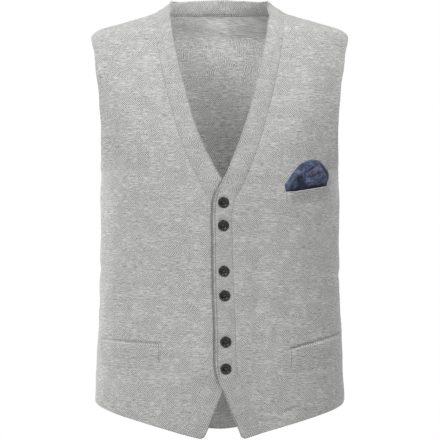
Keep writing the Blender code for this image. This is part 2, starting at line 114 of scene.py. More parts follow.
# The two front bands, hem to neck. x runs from the centre towards the band's own side.
BAND_HEADS = ("edge_x", "edge_level", "seam_x", "seam_level")
LEFT_BAND = (  # on top
    (33.5, -646.0, 62.0, -637.0),
    (27.3, -630.0, 56.5, -619.0),
    (16.0, -602.0, 45.5, -591.0),
    (5.1, -574.5, 34.5, -565.0),
    (-3.5, -558.0, 27.5, -546.0),
    (-7.4, -538.0, 25.3, -531.0),
    (-8.0, -482.0, 24.0, -480.0),
    (-10.0, -430.0, 21.8, -430.0),
    (-11.0, -346.0, 19.5, -350.0),
    (-11.0, -298.0, 19.0, -311.0),
    (-8.6, -284.5, 21.8, -294.0),
    (1.9, -265.0, 30.5, -275.0),
    (12.7, -243.0, 41.0, -253.0),
    (25.1, -212.0, 53.2, -221.0),
    (37.5, -178.0, 65.5, -185.0),
    (48.1, -140.0, 76.0, -146.0),
    (57.0, -101.0, 85.0, -106.0),
    (65.0, -63.0, 92.5, -66.0),
    (71.5, -28.0, 97.0, -32.0),
    (74.5, -6.0, 99.0, -11.0),
)
RIGHT_BAND = (  # underneath
    (24.5, -646.0, 53.0, -639.5),
    (17.2, -630.0, 46.5, -621.0),
    (6.3, -602.0, 36.0, -592.0),
    (-5.1, -574.5, 24.5, -564.0),
    (-15.5, -554.0, 14.0, -545.0),
    (-22.5, -536.0, 9.5, -531.0),
    (-24.5, -482.0, 7.5, -480.0),
    (-24.0, -430.0, 8.0, -430.0),
    (-22.5, -346.0, 8.5, -350.0),
    (-22.0, -300.0, 9.0, -311.0),
    (-18.5, -284.0, 13.5, -294.0),
    (-7.5, -265.0, 23.0, -276.0),
    (5.5, -243.0, 35.0, -254.0),
    (20.5, -214.0, 49.0, -223.0),
    (34.8, -179.0, 63.0, -186.0),
    (46.4, -140.0, 74.5, -146.0),
    (55.8, -103.0, 84.5, -108.0),
    (64.6, -65.0, 92.5, -68.0),
    (71.5, -28.0, 97.0, -32.0),
    (74.5, -6.0, 99.0, -11.0),
)

# Armhole edges: how far each lies in front of the side line, and behind it
ARMHOLE_HEADS = ("level", "front", "back")
ARMHOLE = (
    (-245, 0, 0),
    (-242, 21, 20),
    (-235, 35, 36),
    (-222, 47, 50),
    (-205, 54.5, 60),
    (-180, 60, 67),
    (-150, 61, 70),
    (-120, 58, 68),
    (-90, 49.5, 60.5),
    (-65, 37, 47),
    (-46, 22.5, 32),
    (-37, 10, 16.5),
    (-33, 0, 0),
)

# Where the left front and its band rise over the band under them, from none to full, and by how much
RISE_ACROSS, RISE_TOP, RISE_BOTTOM, RISE = (66.0, 27.0), (-212.0, -252.0), (-630.0, -583.0), 3.5 * MM

# Where the right front swells beside the left band's fold: from none to full going away from the fold,
# from none to full coming back to it, the same down from its top and up from its bottom, and by how much
SWELL_NEAR, SWELL_FAR = (-0.8, 3.0), (50.0, 10.0)
SWELL_TOP, SWELL_BOTTOM, SWELL = (-244.0, -262.0), (-572.0, -548.0), 3.2 * MM

# The cloth round a button: how far from its middle, half the width, and height of the dip and of the ring
DIMPLES = ((0.0, 8.5, -1.5), (14.0, 5.0, 0.45))

# Soft folds of the cloth. A place is (around, level): around runs from 0 at the centre front through 240 at
# the side seams to 480 at the centre back, positive on the wearer's left. bow is how far the middle of the
# fold bends off the straight line, and height is positive for a ridge and negative for a trough. The fade
# is the share of a fold over which it comes up to its full height at each end.
AROUND_TO_SIDE = 240.0
AROUND_WHOLE = 4 * AROUND_TO_SIDE * MM
FOLD_FADE, PUFF_FADE = 0.28, 0.25
FOLD_HEADS = ("around_1", "level_1", "around_2", "level_2", "bow", "half_width", "height")
FOLDS = (
    # chest, wearer's left, from the shoulder to the pocket
    (136, -40, 97, -215, 8, 20, 2.5),
    (172, -84, 146, -222, 6, 17, -2.3),
    (60, -120, 74, -230, -5, 20, -0.9),
    # chest, wearer's right
    (-158, -62, -112, -205, -8, 17, 1.9),
    (-138, -70, -92, -170, -4, 14, -1),
    (-176, -120, -150, -230, -5, 15, -1.3),
    # waist, in front
    (56, -350, 46, -470, 5, 13, -1.3),
    (82, -400, 78, -545, -6, 20, 1.2),
    (-84, -310, -80, -400, 6, 20, 1),
    (-48, -420, -66, -560, 4, 18, 0.8),
    (-118, -380, -140, -470, -8, 20, -1),
    (128, -330, 150, -440, 6, 22, -1.1),
    (-150, -560, -138, -650, 0, 26, 1.3),
    (158, -555, 146, -640, 0, 24, 1.1),
    # below the wearer's left pocket
    (88, -609, 114, -599, 1, 3.2, -1),
    (92, -602, 112, -594, 1, 4.5, 0.5),
    # under the arms
    (226, -252, 168, -330, -6, 12, -1.9),
    (236, -262, 204, -372, -5, 13, 1.5),
    (-224, -254, -172, -318, 5, 12, -1.6),
    (-238, -268, -200, -360, 6, 15, 1.4),
    (252, -256, 306, -338, 6, 13, -1.7),
    (-252, -258, -312, -322, -6, 14, -1.9),
    # sides at the waist
    (214, -398, 282, -412, -5, 9, -1.6),
    (222, -430, 270, -424, 4, 9, -1.1),
    (-208, -388, -276, -404, 6, 9, -1.6),
    (-226, -440, -262, -452, 3, 10, -1),
    # back, between the shoulders and the waist
    (330, -60, 392, -200, 8, 16, 4.9),
    (-326, -64, -396, -188, -8, 16, 4.5),
    (292, -96, 330, -214, 6, 12, -4.5),
    (-294, -90, -326, -226, -6, 12, -3.9),
    (480, -110, 478, -330, 3, 23, -3.9),
    # small of the back
    (322, -396, 452, -420, 8, 11, -4.3),
    (350, -424, 486, -446, 6, 11, 2.9),
    (-330, -410, -466, -432, -8, 11, -3.9),
    (-300, -440, -410, -470, -6, 12, -2.8),
    (400, -458, 520, -468, 4, 12, -2.9),
    # back, below the waist
    (318, -500, 352, -650, 6, 17, 4.6),
    (-322, -506, -366, -650, -6, 17, 4.2),
    (412, -520, 424, -660, 3, 13, -2.8),
    (-440, -510, -428, -660, -3, 15, -2.9),
    (262, -520, 250, -610, 3, 12, -2.5),
    (-264, -530, -254, -610, 3, 12, -2.2),
)

# Faint unevenness of the whole cloth: waves round the body, waves up each metre, start of the wave, height
WAVES = (
    (10, 6.4, 0.4, 0.34),
    (15, -8.5, 1.9, 0.26),
    (7, 21.0, 4.2, 0.20),
    (24, 12.0, 2.6, 0.15),
    (37, -19.0, 0.9, 0.10),
)

# Pocket welts: side is 1 on the wearer's left; x and level of the mouth's two ends, the welt's height, how
# far the middle of the mouth stands open, and how deep the front is drawn in behind the mouth
WELT_HEADS = ("side", "inner_x", "inner_level", "outer_x", "outer_level", "height", "gape", "slit")
WELTS = {
    "welt_lower_left": (1, 104.5, -514.0, 182.5, -494.5, 36.0, 0.12, 2.4),
    "welt_lower_right": (-1, 88.5, -505.8, 182.0, -502.5, 36.0, 0.12, 2.2),
    "welt_breast": (1, 97.5, -277.2, 167.5, -263.6, 22.0, 3.3, 1.2),
}

# A mouth's slit: how far above the welt's fold, half its width, and the shares where it starts and ends. Its
# gape: the share at each end that closes, and how the welt bends out. A welt: how far it stands off, the
# share of its height over which its foot slopes, and its dips in shares of the seam dip.
SLIT_ABOVE, SLIT_HALF_WIDTH, SLIT_START, SLIT_END = 1.3, 1.6, (-0.03, 0.04), (1.02, 0.96)
GAPE_ENDS, GAPE_CURVE = 0.2, 2.6
WELT_STEP, WELT_FOOT, WELT_DIPS = 0.35 * MM, 0.75, (0.1, 0, 2, 2)

# Folds of the pocket puff, as x and level of their ends, half their width and their height
PUFF_FOLD_HEADS = ("x_1", "level_1", "x_2", "level_2", "half_width", "height")
PUFF_FOLDS = (
    (117, -254, 123, -276, 7.0, -7.0),
    (120, -234, 121, -256, 3.2, -2.2),
    (113, -246, 116, -262, 1.4, -2.2),
    (102, -268, 111, -252, 4.5, 2.4),
    (105, -272, 111, -258, 1.3, -2.2),
    (134, -238, 148, -250, 7.0, 2.2),
    (128, -262, 146, -266, 6.0, 1.6),
    (126, -249, 141, -237, 1.5, -2.6),
    (130, -256, 150, -246, 1.4, -2.6),
    (134, -270, 150, -256, 1.8, -3.0),
    (145, -272, 154, -262, 1.4, -2.4),
    (147, -230, 157, -250, 2.2, -3.4),
    (158, -246, 157, -266, 1.6, -3.2),
    (138, -229, 144, -240, 1.3, -1.9),
)

# How a seam shapes the cloth, sewn edge to edge or flat on another piece: how far its dip reaches, and the
# shares of the dip's depth that go to its puckers, to sinking the cloth and to pinching it. Below them are
# shares of the seam dip, the side seam's fade at the underarm, and the waves that make the puckers.
SEAMS = {"edge": (3.2 * MM, 0.4, 0.15, 0.75), "flat": (5.5 * MM, 0.1, 1.0, 0.0)}
BAND_DIP, NECK_DIP, SIDE_SEAM_FADE = 0.3, 1.2, 12 * MM
PUCKER_REACH, PUCKER_UP, PUCKER_ROUND = 6 * MM, 0.66, 0.52
PUCKER_DRIFT, PUCKER_DRIFT_UP = 2.5, 0.043

# How far edges are drawn in, in thicknesses, and how far the right front's knit is shifted from the left's
SEAM_DRAW, EDGE_DRAW, RIGHT_CLOTH_SHIFT = 0.25, 0.46, (1.37, 0.71)

# The front bands: crown, reach of the flush part at the seam, rounding of the tip, and the groove beside
# the fold, whose foot and top are in metres up the band
BAND_CROWN, CROWN_FULLNESS, FLUSH_REACH, TIP_RADIUS = 0.5 * MM, 0.7, 8 * MM, 6.5 * MM
GROOVE_AWAY, GROOVE_HALF_WIDTH, GROOVE_DEPTH = 5.2 * MM, 1.3 * MM, 0.35 * MM
GROOVE_FOOT, GROOVE_TOP = (0.085, 0.105), (0.385, 0.365)

# Lines of stitches, and of painted shade: the side they start from, middle and half width from it, lowest,
# highest, and depth of colour; the ramp of each dot, the full part of a line's half width, and the fades at
# its foot and its top
BAND_STITCHES_AND_SHADE = (
    # A painted shadow: a dark dotted line just inside the fold of the buttoned band's free edge
    ("edge", 0.6, 0.9, 80, 385, 0.95),
    ("edge", 4.6, 1.3, 88, 385, 0.6),
    ("seam", 1.0, 1.1, 70, 640, 0.3),
)
WELT_STITCHES = (("edge", 1.6, 1.1, -900, 0, 0.48),)
STITCH_DOTS, STITCH_CORE, STITCH_FADE = (-0.9, 0.6, 0.3, 1.0), 0.4, (12, 15)

# The knits: strength of the lattice, the slubs and the streaks, shade, and lines of stitches and painted
# shade. The shade
# scales both yarns: the inside knit's is painted light on the cloth's inner faces, and the band knit's is
# painted shade
KNITS = {
    "knit_outside": (1.05, 1.7, 0.5, 1.0, ()),
    "knit_inside": (0.65, 2.1, 0.6, 1.22, ()),
    "band_cloth": (1.3, 1.3, 0.35, 0.945, BAND_STITCHES_AND_SHADE),
    "welt_cloth": (1.05, 1.7, 0.5, 1.0, WELT_STITCHES),
    "neck_inside": (4.2, 1.6, 0.3, 0.98, BAND_STITCHES_AND_SHADE),
}

# The grains of a knit, each a stretched noise: stretch round, stretch up, start, scale and roughness
GRAINS = {
    "slub": (105.0, 560.0, 0.0, 1.0, 0.5),
    "streak": (11.0, 150.0, 3.0, 1.0, 0.5),
    "fibre": (0.8, 1.0, 7.0, 520.0, 0.6),
    "cloud": (1.0, 1.0, 11.0, 22.0, 0.5),
}

# What the fibre and the cloud add to the tone, and its middle; the ramp of the lattice's dots, and how far
# they wander, in dots; the patches of weak and strong lattice; and the heights that make the bump
FIBRE, CLOUD, MIDDLE_TONE = 1.3, 0.16, 0.585
DOTS, WANDER, WANDER_SCALE = (-0.6, 0.6), 1.1, 170.0
PATCH_SCALE, PATCH_EDGES, PATCH_STRENGTHS = 48.0, (0.47, 0.62), (0.15, 3.3)
DOT_DEPTH, FIBRE_HEIGHT, SLUB_HEIGHT, KNIT_BUMP = -0.5, 0.9, 0.5, 0.35 * MM
SHEEN_ROUGHNESS, SHEEN_TINT = 0.45, (0.9, 0.9, 0.88, 1)

# The puff's outline, from one end of the mouth over the top to the other, as x and level
PUFF_OUTLINE = (
    (98.5, -277.0),
    (97.5, -265.5),
    (102.0, -259.5),
    (109.7, -247.4),
    (120.3, -236.0),
    (129.5, -231.5),
    (137.2, -229.0),
    (148.0, -231.0),
    (156.0, -237.7),
    (161.0, -245.0),
    (162.2, -252.6),
    (160.2, -263.3),
    (158.5, -270.0),
)
PUFF_ROOT = ((103, -288), (156, -275))

# The puff's least and full thickness, how square its hump is across and how full and leaning it is up it,
# where it is freed above the mouth, its gap off the front, and the painted shade in its folds, above its
# mouth and at its rim
PUFF_THIN, PUFF_FULL, PUFF_SQUARENESS, PUFF_FULLNESS, PUFF_LEAN = 1.1, 7.0, 3.5, 0.55, 0.75
PUFF_FREED, PUFF_GAP = (1.0, 8.5), 0.1 * MM
PUFF_SHADE_CREASE, PUFF_MOUTH_SHADE, PUFF_RIM_SHADE = 5.5 * MM, (4.0, 0.5), (0.93, 1)

# A button, in parts of its radius. Its top: how far out in rings, radius, height. Below it: where the holes
# are, their depth and radius, the height of the foot, and how far the button stands off the band.
BUTTON_TOP = (
    (0.0, 0.0, 0.17),
    (0.3, 0.27, 0.18),
    (0.56, 0.5, 0.215),
    (0.66, 0.6, 0.27),
    (0.76, 0.7, 0.365),
    (0.88, 0.83, 0.36),
    (1.0, 0.915, 0.2),
)
BUTTON_HOLES = ((-0.19, -0.19), (0.19, -0.19), (0.19, 0.19), (-0.19, 0.19))
HOLE_DEPTH, HOLE_RADIUS, BUTTON_FOOT, BUTTON_SHANK = 0.16, 0.12, 0.03, 0.8 * MM
BUTTON_NAMES = sorted(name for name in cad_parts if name.startswith("button_"))
BUTTON_SIZE = max(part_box("button_1")[1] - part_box("button_1")[0])

# The thread: its pairs of holes and radius; its height at the holes, the rise of its arch, and how far the
# second goes over the first; a direction that no thread has, for its circles, and its width at its ends
THREADS, THREAD_RADIUS = ((0, 2), (1, 3)), 0.05
THREAD_FOOT, THREAD_RISE, THREAD_OVER = 0.12, 0.24, 0.03
TUBE_AXIS, TUBE_END = (0.3, 0.5, 0.81), 0.05

FLOOR_RADIUS, FLOOR_LEVEL, FLOOR_GLOW = 2.6, -1.05, 0.55
SURROUND_TINT = (0.98, 0.99, 1, 1)
CAMERA_PLACE, CAMERA_LENS, SENSOR_WIDTH = (0.0004, -3.0, -0.3193), 158.4, 36.0

# The lights: where each is, how wide it is, its beam's angle in degrees, where it is aimed, and its tint
BODY_MIDDLE, INSIDE_NECK, WHITE = (0, 0, -0.3), (-0.06, 0.1, 0.0), (1, 1, 1)
LIGHTS = {
    "key": ((-1.65, -2.2, 1.65), 1.3, 180, BODY_MIDDLE, (1, 0.995, 0.98)),
    "front": ((-0.7, -3.35, -0.35), 2.4, 180, BODY_MIDDLE, WHITE),
    "shoulder": ((0.45, -0.6, 0.8), 0.5, 180, BODY_MIDDLE, WHITE),
    "neck": ((-0.02, -0.04, 0.0), 0.08, 115, INSIDE_NECK, WHITE),
    "rim_left": ((-1.8, 1.3, 0.1), 1.4, 180, BODY_MIDDLE, WHITE),
    "rim_right": ((1.8, 1.3, 0.1), 1.4, 180, BODY_MIDDLE, WHITE),
}


# ---- Curves


def column(table, heads, name):
    """One named column of a table, in metres."""
    return np.array([row[heads.index(name)] for row in table], float) * MM


def between(start, end, start_slope, end_slope, share):
    """Cubic between two values with these slopes, both scaled to the step; share runs from 0 to 1."""
    s2, s3 = share**2, share**3
    return (
        (2 * s3 - 3 * s2 + 1) * start
        + (s3 - 2 * s2 + share) * start_slope
        + (3 * s2 - 2 * s3) * end
        + (s3 - s2) * end_slope
    )


def smooth_through(x, y, wanted):
    """Values at wanted of the cubic through (x, y), whose harmonic-mean slopes never overshoot a row."""
    step = np.diff(x)
    slope = np.diff(y) / step
    before, after = slope[:-1], slope[1:]
    rising_on = before * after > 0
    mean = np.where(rising_on, 2 * before * after / np.where(rising_on, before + after, 1), 0)
    slopes = np.concatenate([slope[:1], mean, slope[-1:]])
    wanted = np.clip(wanted, x[0], x[-1])
    k = np.clip(np.searchsorted(x, wanted) - 1, 0, len(x) - 2)
    share = (wanted - x[k]) / step[k]
    return between(y[k], y[k + 1], slopes[k] * step[k], slopes[k + 1] * step[k], share)


def smooth_step(value, none, full):
    """0 at none and 1 at full, level at both."""
    share = np.clip((value - none) / (full - none), 0, 1)
    return share * share * (3 - 2 * share)


def unit(vectors):
    return vectors / np.linalg.norm(vectors, axis=-1, keepdims=True)


def distance_along(points):
    """How far along a polyline each of its points lies."""
    return np.concatenate([[0], np.cumsum(np.linalg.norm(np.diff(points, axis=0), axis=1))])


def spline(rows):
    """A smooth curve through rows of any width, paced by the distance between them."""
    pace = distance_along(rows)
    slopes = np.gradient(rows, pace, axis=0)
    share = np.linspace(0, 1, SAMPLES_PER_ROW, endpoint=False)[:, None]
    gaps = np.diff(pace)
    spans = [
        between(rows[i], rows[i + 1], slopes[i] * gap, slopes[i + 1] * gap, share)
        for i, gap in enumerate(gaps)
    ]
    return np.vstack([*spans, rows[-1:]])


# ---- The form

RING_LEVELS = column(FORM, FORM_HEADS, "level")[::-1]
RING_SIZES = [column(FORM, FORM_HEADS, name)[::-1] for name in FORM_HEADS[1:]]


def ring(level):
    """Half width, front depth, back depth and squareness of the ring at each level."""
    *sizes, squareness = (smooth_through(RING_LEVELS, sizes, level) for sizes in RING_SIZES)
    return *sizes, squareness / MM


def on_form(path):
    """The points of the form at these places: each ring is a squared ellipse in polar form."""
    turn, level = path[..., 0], path[..., 1]
    half_width, front, back, squareness = ring(level)
    across, along = np.sin(turn), -np.cos(turn)
    depth = np.where(along < 0, front, back)
    squared = np.abs(across / half_width) ** squareness + np.abs(along / depth) ** squareness
    reach = squared ** (-1 / squareness)
    return np.stack([reach * across, reach * along, level], -1)


def outward(path):
    """Unit normals of the form, from small steps round it and up it."""
    round_it = on_form(path + [TURN_STEP, 0]) - on_form(path - [TURN_STEP, 0])
    up_it = on_form(path + [0, LEVEL_STEP]) - on_form(path - [0, LEVEL_STEP])
    return unit(np.cross(round_it, up_it))


def arc(start, end, level):
    """Length of the ring at each level between two turns, as the sum of short chords."""
    share = np.linspace(0, 1, ARC_SAMPLES)
    turn = start + (end - start)[..., None] * share
    points = on_form(np.stack([turn, np.broadcast_to(level[..., None], turn.shape)], -1))
    return np.linalg.norm(np.diff(points, axis=-2), axis=-1).sum(-1)


def quarter(start, end, level):
    """The arc between two fixed turns at each level, read off a table of levels."""
    levels = np.linspace(RING_LEVELS[0], RING_LEVELS[-1], LEVEL_SAMPLES)
    return np.interp(level, levels, arc(start, np.full_like(levels, end), levels))


def round_the_body(path):
    """How far round from the centre front each place lies, in metres, and as around, in the tables' terms.

    The metres go on past the centre back, and around changes sign there.
    """
    turn, level = path[..., 0], path[..., 1]
    past = turn > np.pi
    near = np.where(past, FULL_TURN - turn, turn)
    front = arc(0.0, np.clip(near, -SIDE, SIDE), level) * np.sign(near)
    back = arc(SIDE, np.maximum(near, SIDE), level)
    front_whole, back_whole = quarter(0.0, SIDE, level), quarter(SIDE, np.pi, level)
    share = front / front_whole + back / back_whole
    metres = np.where(past, 2 * (front_whole + back_whole) - front - back, front + back)
    return metres, np.where(past, -share, share) * AROUND_TO_SIDE * MM


def turn_at(facing, x, level):
    """The turn at which the front or the back of the ring has this x."""
    half_width, front, back, squareness = ring(level)
    depth = front if facing == "front" else back
    y = depth * np.clip(1 - np.abs(x / half_width) ** squareness, 0, None) ** (1 / squareness)
    return np.arctan2(x, y if facing == "front" else -y)


def turn_beside(facing, away, level):
    """The turn at which the ring lies this far in front of the side line, or behind it."""
    half_width, front, back, squareness = ring(level)
    depth = front if facing == "front" else back
    x = half_width * (1 - (away / depth) ** squareness) ** (1 / squareness)
    return SIDE + np.arctan2(-away if facing == "front" else away, x)


def spread(path, count, crowding=0.0):
    """count + 1 places along a path, evenly by real distance, or crowded to both its ends by a sine."""
    length = distance_along(on_form(path))
    share = np.linspace(0, 1, count + 1)
    wanted = (share - crowding * np.sin(FULL_TURN * share) / FULL_TURN) * length[-1]
    return np.stack([np.interp(wanted, length, path[:, k]) for k in (0, 1)], -1)


def rows_along(path, rows):
    """The rows of a piece along one of its edges: even up to the underarm's level, and even above it."""
    first = int(np.argmax(path[:, 1] > UNDERARM))
    share = (UNDERARM - path[first - 1, 1]) / (path[first, 1] - path[first - 1, 1])
    middle = path[first - 1] + share * (path[first] - path[first - 1])
    low = spread(np.vstack([path[:first], middle]), rows[0])
    high = spread(np.vstack([middle, path[first:]]), rows[1])
    return np.vstack([low, high[1:]])


# ---- Seams and edges, as paths on the form


def smooth_path(path):
    """The smooth path through a few places on the form."""
    return spline(np.hstack([on_form(path), path]))[:, 3:]


def band_lines(table):
    """Rows of the free edge and of the seam of a front band, from the hem to the shoulder seam."""
    lines = []
    for line, top in (("edge", BAND_TOP_AT_SIDE), ("seam", NECK_POINT)):
        x = column(table, BAND_HEADS, line + "_x")
        level = column(table, BAND_HEADS, line + "_level")
        path = np.column_stack([turn_at("front", x, level), level])
        lines.append(rows_along(smooth_path(np.vstack([path, [SIDE, top]])), FRONT_ROWS))
    return lines


def side_line(facing, rows):
    """Rows of the side seam, and of the front or back edge of the armhole above it."""
    seam = np.array([(SIDE, SIDE_HEM), (SIDE, UNDERARM)])
    level = column(ARMHOLE, ARMHOLE_HEADS, "level")
    away = column(ARMHOLE, ARMHOLE_HEADS, facing)
    armhole = smooth_path(np.column_stack([turn_beside(facing, away, level), level]))
    return np.vstack([spread(seam, rows[0]), spread(armhole, rows[1])[1:]])


def shoulder_seam(columns):
    """From the neck point out to the shoulder tip."""
    level = np.linspace(NECK_POINT, SHOULDER_TIP, PATH_SAMPLES)
    return spread(np.column_stack([np.full_like(level, SIDE), level]), columns, CROWDING)


def front_hem(start):
    """From the band seam up to the side seam, a little hollow."""
    turn = np.linspace(start[0], SIDE, PATH_SAMPLES)
    length = distance_along(on_form(np.column_stack([turn, np.full_like(turn, start[1])])))
    share = length / length[-1]
    level = start[1] + (SIDE_HEM - start[1]) * (share + FRONT_HEM_HOLLOW * share * (1 - share))
    return spread(np.column_stack([turn, level]), FRONT_COLUMNS, CROWDING)


def back_hem_level(turn):
    """Lowest at the centre back, rising to the side seams."""
    return BACK_HEM + (SIDE_HEM - BACK_HEM) * np.sin(turn) ** 2


def back_hem(start, end, columns, crowding=0.0):
    turn = np.linspace(start, end, PATH_SAMPLES)
    return spread(np.column_stack([turn, back_hem_level(turn)]), columns, crowding)


def neck_line(side_level, back_level, columns):
    """Round the back of the neck, from the left shoulder seam to the right one."""
    turn = np.linspace(SIDE, FULL_TURN - SIDE, PATH_SAMPLES)
    level = back_level + (side_level - back_level) * np.sin(turn) ** 2
    return spread(np.column_stack([turn, level]), columns)


def neck_point_line():
    """Rows straight up the back, from the hem to the left neck point."""
    x = ring(NECK_POINT)[0]
    hem = BACK_HEM
    for _ in range(6):  # settles where the line meets the hem
        hem = back_hem_level(turn_at("back", x, hem))
    level = NECK_POINT + (hem - NECK_POINT) * np.linspace(1, 0, PATH_SAMPLES) ** 2
    return rows_along(np.column_stack([turn_at("back", x, level), level]), BACK_ROWS)


def other_side(path):
    """The same places on the other half of the body."""
    return np.stack([FULL_TURN - path[..., 0], path[..., 1]], -1)


def patch(low, high, inner, outer):
    """A grid between four edges: the sum of its two rulings, less that of its corners (a Coons patch)."""
    v = np.linspace(0, 1, len(inner))[:, None, None]
    u = np.linspace(0, 1, len(low))[None, :, None]
    across = (1 - u) * inner[:, None] + u * outer[:, None]
    upward = (1 - v) * low[None] + v * high[None]
    foot, top = ((1 - u) * edge[0] + u * edge[-1] for edge in (low, high))
    corners = (1 - v) * foot + v * top
    return across + upward - corners


def strip(first, second, columns):
    """A grid of straight rows between two lines."""
    share = np.linspace(0, 1, columns + 1)[None, :, None]
    return (1 - share) * first[:, None] + share * second[:, None]


# ---- Relief of the cloth


def bell(off, half_width):
    """1 in the middle, falling away smoothly on both sides: exp of less the square."""
    return np.exp(-((off / half_width) ** 2))


def along_fold(across, up, ends, bow):
    """Where each place lies along a fold, 0 to 1, and how far off its bowed line."""
    start, run = ends[:2], ends[2:] - ends[:2]
    length = np.hypot(*run)
    way = run / length
    share = ((across - start[0]) * way[0] + (up - start[1]) * way[1]) / length
    off = (across - start[0]) * -way[1] + (up - start[1]) * way[0]
    middle = np.clip(share, 0, 1)
    return share, off - bow * 4 * middle * (1 - middle)


def folds(across, up, table, heads, fade):
    """Sum of soft folds: each is a bell across its line that fades out towards its two ends."""
    total = np.zeros(np.shape(across))
    for row in table:
        fold = {name: value * MM for name, value in zip(heads, row)}
        ends = np.array([fold[name] for name in heads[:4]])
        share, off = along_fold(across, up, ends, fold.get("bow", 0.0))
        full = smooth_step(share, -fade, fade) * smooth_step(share, 1 + fade, 1 - fade)
        total += fold["height"] * bell(off, fold["half_width"]) * full
    return total


def waves(around, level):
    """Sum of low sine waves round and up the cloth, whole in number round the body."""
    total = np.zeros(np.shape(around))
    for round_it, up, start, height in WAVES:
        total += height * MM * np.sin(FULL_TURN * (round_it * around / AROUND_WHOLE + up * level) + start)
    return total


def body_relief(around, level):
    """Height of the worn cloth off the form. The folds near the centre back are taken both ways round."""
    total = waves(around, level)
    other_way = np.where(around > 0, around - AROUND_WHOLE, around + AROUND_WHOLE)
    for shifted in (around, other_way):
        total += folds(shifted, level, FOLDS, FOLD_HEADS, FOLD_FADE)
    return total * settings("waistcoat_cloth").fold_depth


def rise_over_band(x, level):
    """How far the left front and its band stand off the form, to clear the right band under them."""
    x, level = x / MM, level / MM
    up = smooth_step(level, *RISE_TOP) * smooth_step(level, *RISE_BOTTOM)
    return smooth_step(x, *RISE_ACROSS) * up * RISE


def swell_beside_edge(x, level):
    """The right front stands up soft and full just beside the left band's fold, with a groove between them.

    x runs to the wearer's right. The swell starts at the fold, is whole in millimetres and fades slowly.
    """
    rows = [column(LEFT_BAND, BAND_HEADS, name) for name in ("edge_level", "edge_x")]
    away = (x + smooth_through(*rows, level)) / MM
    level = level / MM
    across = smooth_step(away, *SWELL_NEAR) * smooth_step(away, *SWELL_FAR)
    along = smooth_step(level, *SWELL_TOP) * smooth_step(level, *SWELL_BOTTOM)
    return SWELL * across * along


def button_dimples(x, level):
    """The cloth is drawn in under each button, and stands up a little round it."""
    total = np.zeros(np.shape(x))
    for low, high in map(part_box, BUTTON_NAMES):
        away = np.hypot(x - (low.x + high.x) / 2, level - (low.z + high.z) / 2) / MM
        for middle, half_width, height in DIMPLES:
            total += height * MM * bell(away - middle, half_width)
    return total


def front_relief(x, level, side):
    """What a front and its band have beyond the body's folds; x runs towards their own side."""
    if side > 0:
        return rise_over_band(x, level) + button_dimples(x, level)
    return swell_beside_edge(x, level)


def welt_of(name):
    """A welt's row, by its heads."""
    return dict(zip(WELT_HEADS, WELTS[name]))


def mouth_at(welt, x):
    """How far along a pocket's mouth this x is, 0 to 1, and the mouth's level there, in millimetres."""
    share = (x / MM - welt["inner_x"]) / (welt["outer_x"] - welt["inner_x"])
    return share, welt["inner_level"] + (welt["outer_level"] - welt["inner_level"]) * share


def pocket_slits(x, level, side):
    """The front is drawn in along each pocket's mouth, as a narrow groove just above the welt's fold."""
    total = np.zeros(np.shape(x))
    for welt in map(welt_of, WELTS):
        if welt["side"] == side:
            share, line = mouth_at(welt, x)
            ends = smooth_step(share, *SLIT_START) * smooth_step(share, *SLIT_END)
            total -= welt["slit"] * MM * ends * bell(level / MM - line - SLIT_ABOVE, SLIT_HALF_WIDTH)
    return total


# ---- Meshes


def four_sides(points):
    """Views of a grid that start at each of its four edges: low, high, inner, outer."""
    turned = points.swapaxes(0, 1)
    return points, points[::-1], turned, turned[::-1]


def from_edges(points):
    """How far each point lies from its grid's low, high, inner and outer edges, along the grid's lines."""
    reach = []
    for grid in four_sides(points):
        step = np.linalg.norm(np.diff(grid, axis=0), axis=-1)
        reach.append(np.concatenate([np.zeros((1, step.shape[1])), np.cumsum(step, 0)]))
    low, high, inner, outer = reach
    return low, high[::-1], inner.swapaxes(0, 1), outer[::-1].swapaxes(0, 1)


def drawn_in(points, amounts):
    """The grid with its edges drawn in by amounts, square to themselves, and each edge's push outwards."""
    moved, push = points.copy(), np.zeros_like(points)
    views = zip(four_sides(points), four_sides(moved), four_sides(push), amounts)
    for kept, grid, pushed, amount in views:
        along = unit(np.gradient(kept[0], axis=0))
        step = kept[1] - kept[0]
        square_on = unit(step - np.sum(step * along, -1, keepdims=True) * along)
        grid[0] += np.reshape(amount, (-1, 1)) * square_on
        pushed[0] -= square_on
    size = np.linalg.norm(push, axis=-1, keepdims=True)
    return moved, push / np.where(size > 0, size, 1)


def quads_of(rows, columns):
    """The faces of a grid of points, numbered row by row, and the numbers of its rim, once round."""
    index = np.arange(rows * columns).reshape(rows, columns)
    corners = [index[:-1, :-1], index[:-1, 1:], index[1:, 1:], index[1:, :-1]]
    rim = np.concatenate([index[0], index[1:, -1], index[-1, -2::-1], index[-2:0:-1, 0]])
    return np.stack(corners, -1).reshape(-1, 4), rim


def shell(inner, outer, normals, push, uv):
    """Points, faces, UVs and inside marks of a closed sheet: two grids joined by a half-round rim.

    The rim's point at an angle is the middle of the edge, plus half the thickness times the angle's cosine
    along the push and its sine along the normal.
    """
    faces, rim = quads_of(*inner.shape[:2])
    count = inner.shape[0] * inner.shape[1]
    inner, outer, uv = inner.reshape(-1, 3), outer.reshape(-1, 3), uv.reshape(-1, uv.shape[-1])
    middle = (inner[rim] + outer[rim]) / 2
    half = np.linalg.norm(outer[rim] - inner[rim], axis=-1, keepdims=True) / 2
    up, out = normals.reshape(-1, 3)[rim], push.reshape(-1, 3)[rim]
    rounds = [middle + half * (np.sin(a) * up + np.cos(a) * out) for a in RIM_ANGLES]
    numbers = [2 * count + k * len(rim) + np.arange(len(rim)) for k in range(len(rounds))]
    loops = [rim + count, *numbers, rim]
    edges = [
        np.stack([low, np.roll(low, -1), np.roll(high, -1), high], -1)
        for high, low in zip(loops, loops[1:])
    ]
    every = np.vstack([faces + count, *edges, faces[:, ::-1]])
    inside = np.arange(len(every)) >= len(every) - len(faces)
    uvs = np.vstack([uv, uv, *[uv[rim]] * len(rounds)])
    return np.vstack([inner, outer, *rounds]), every, uvs, inside


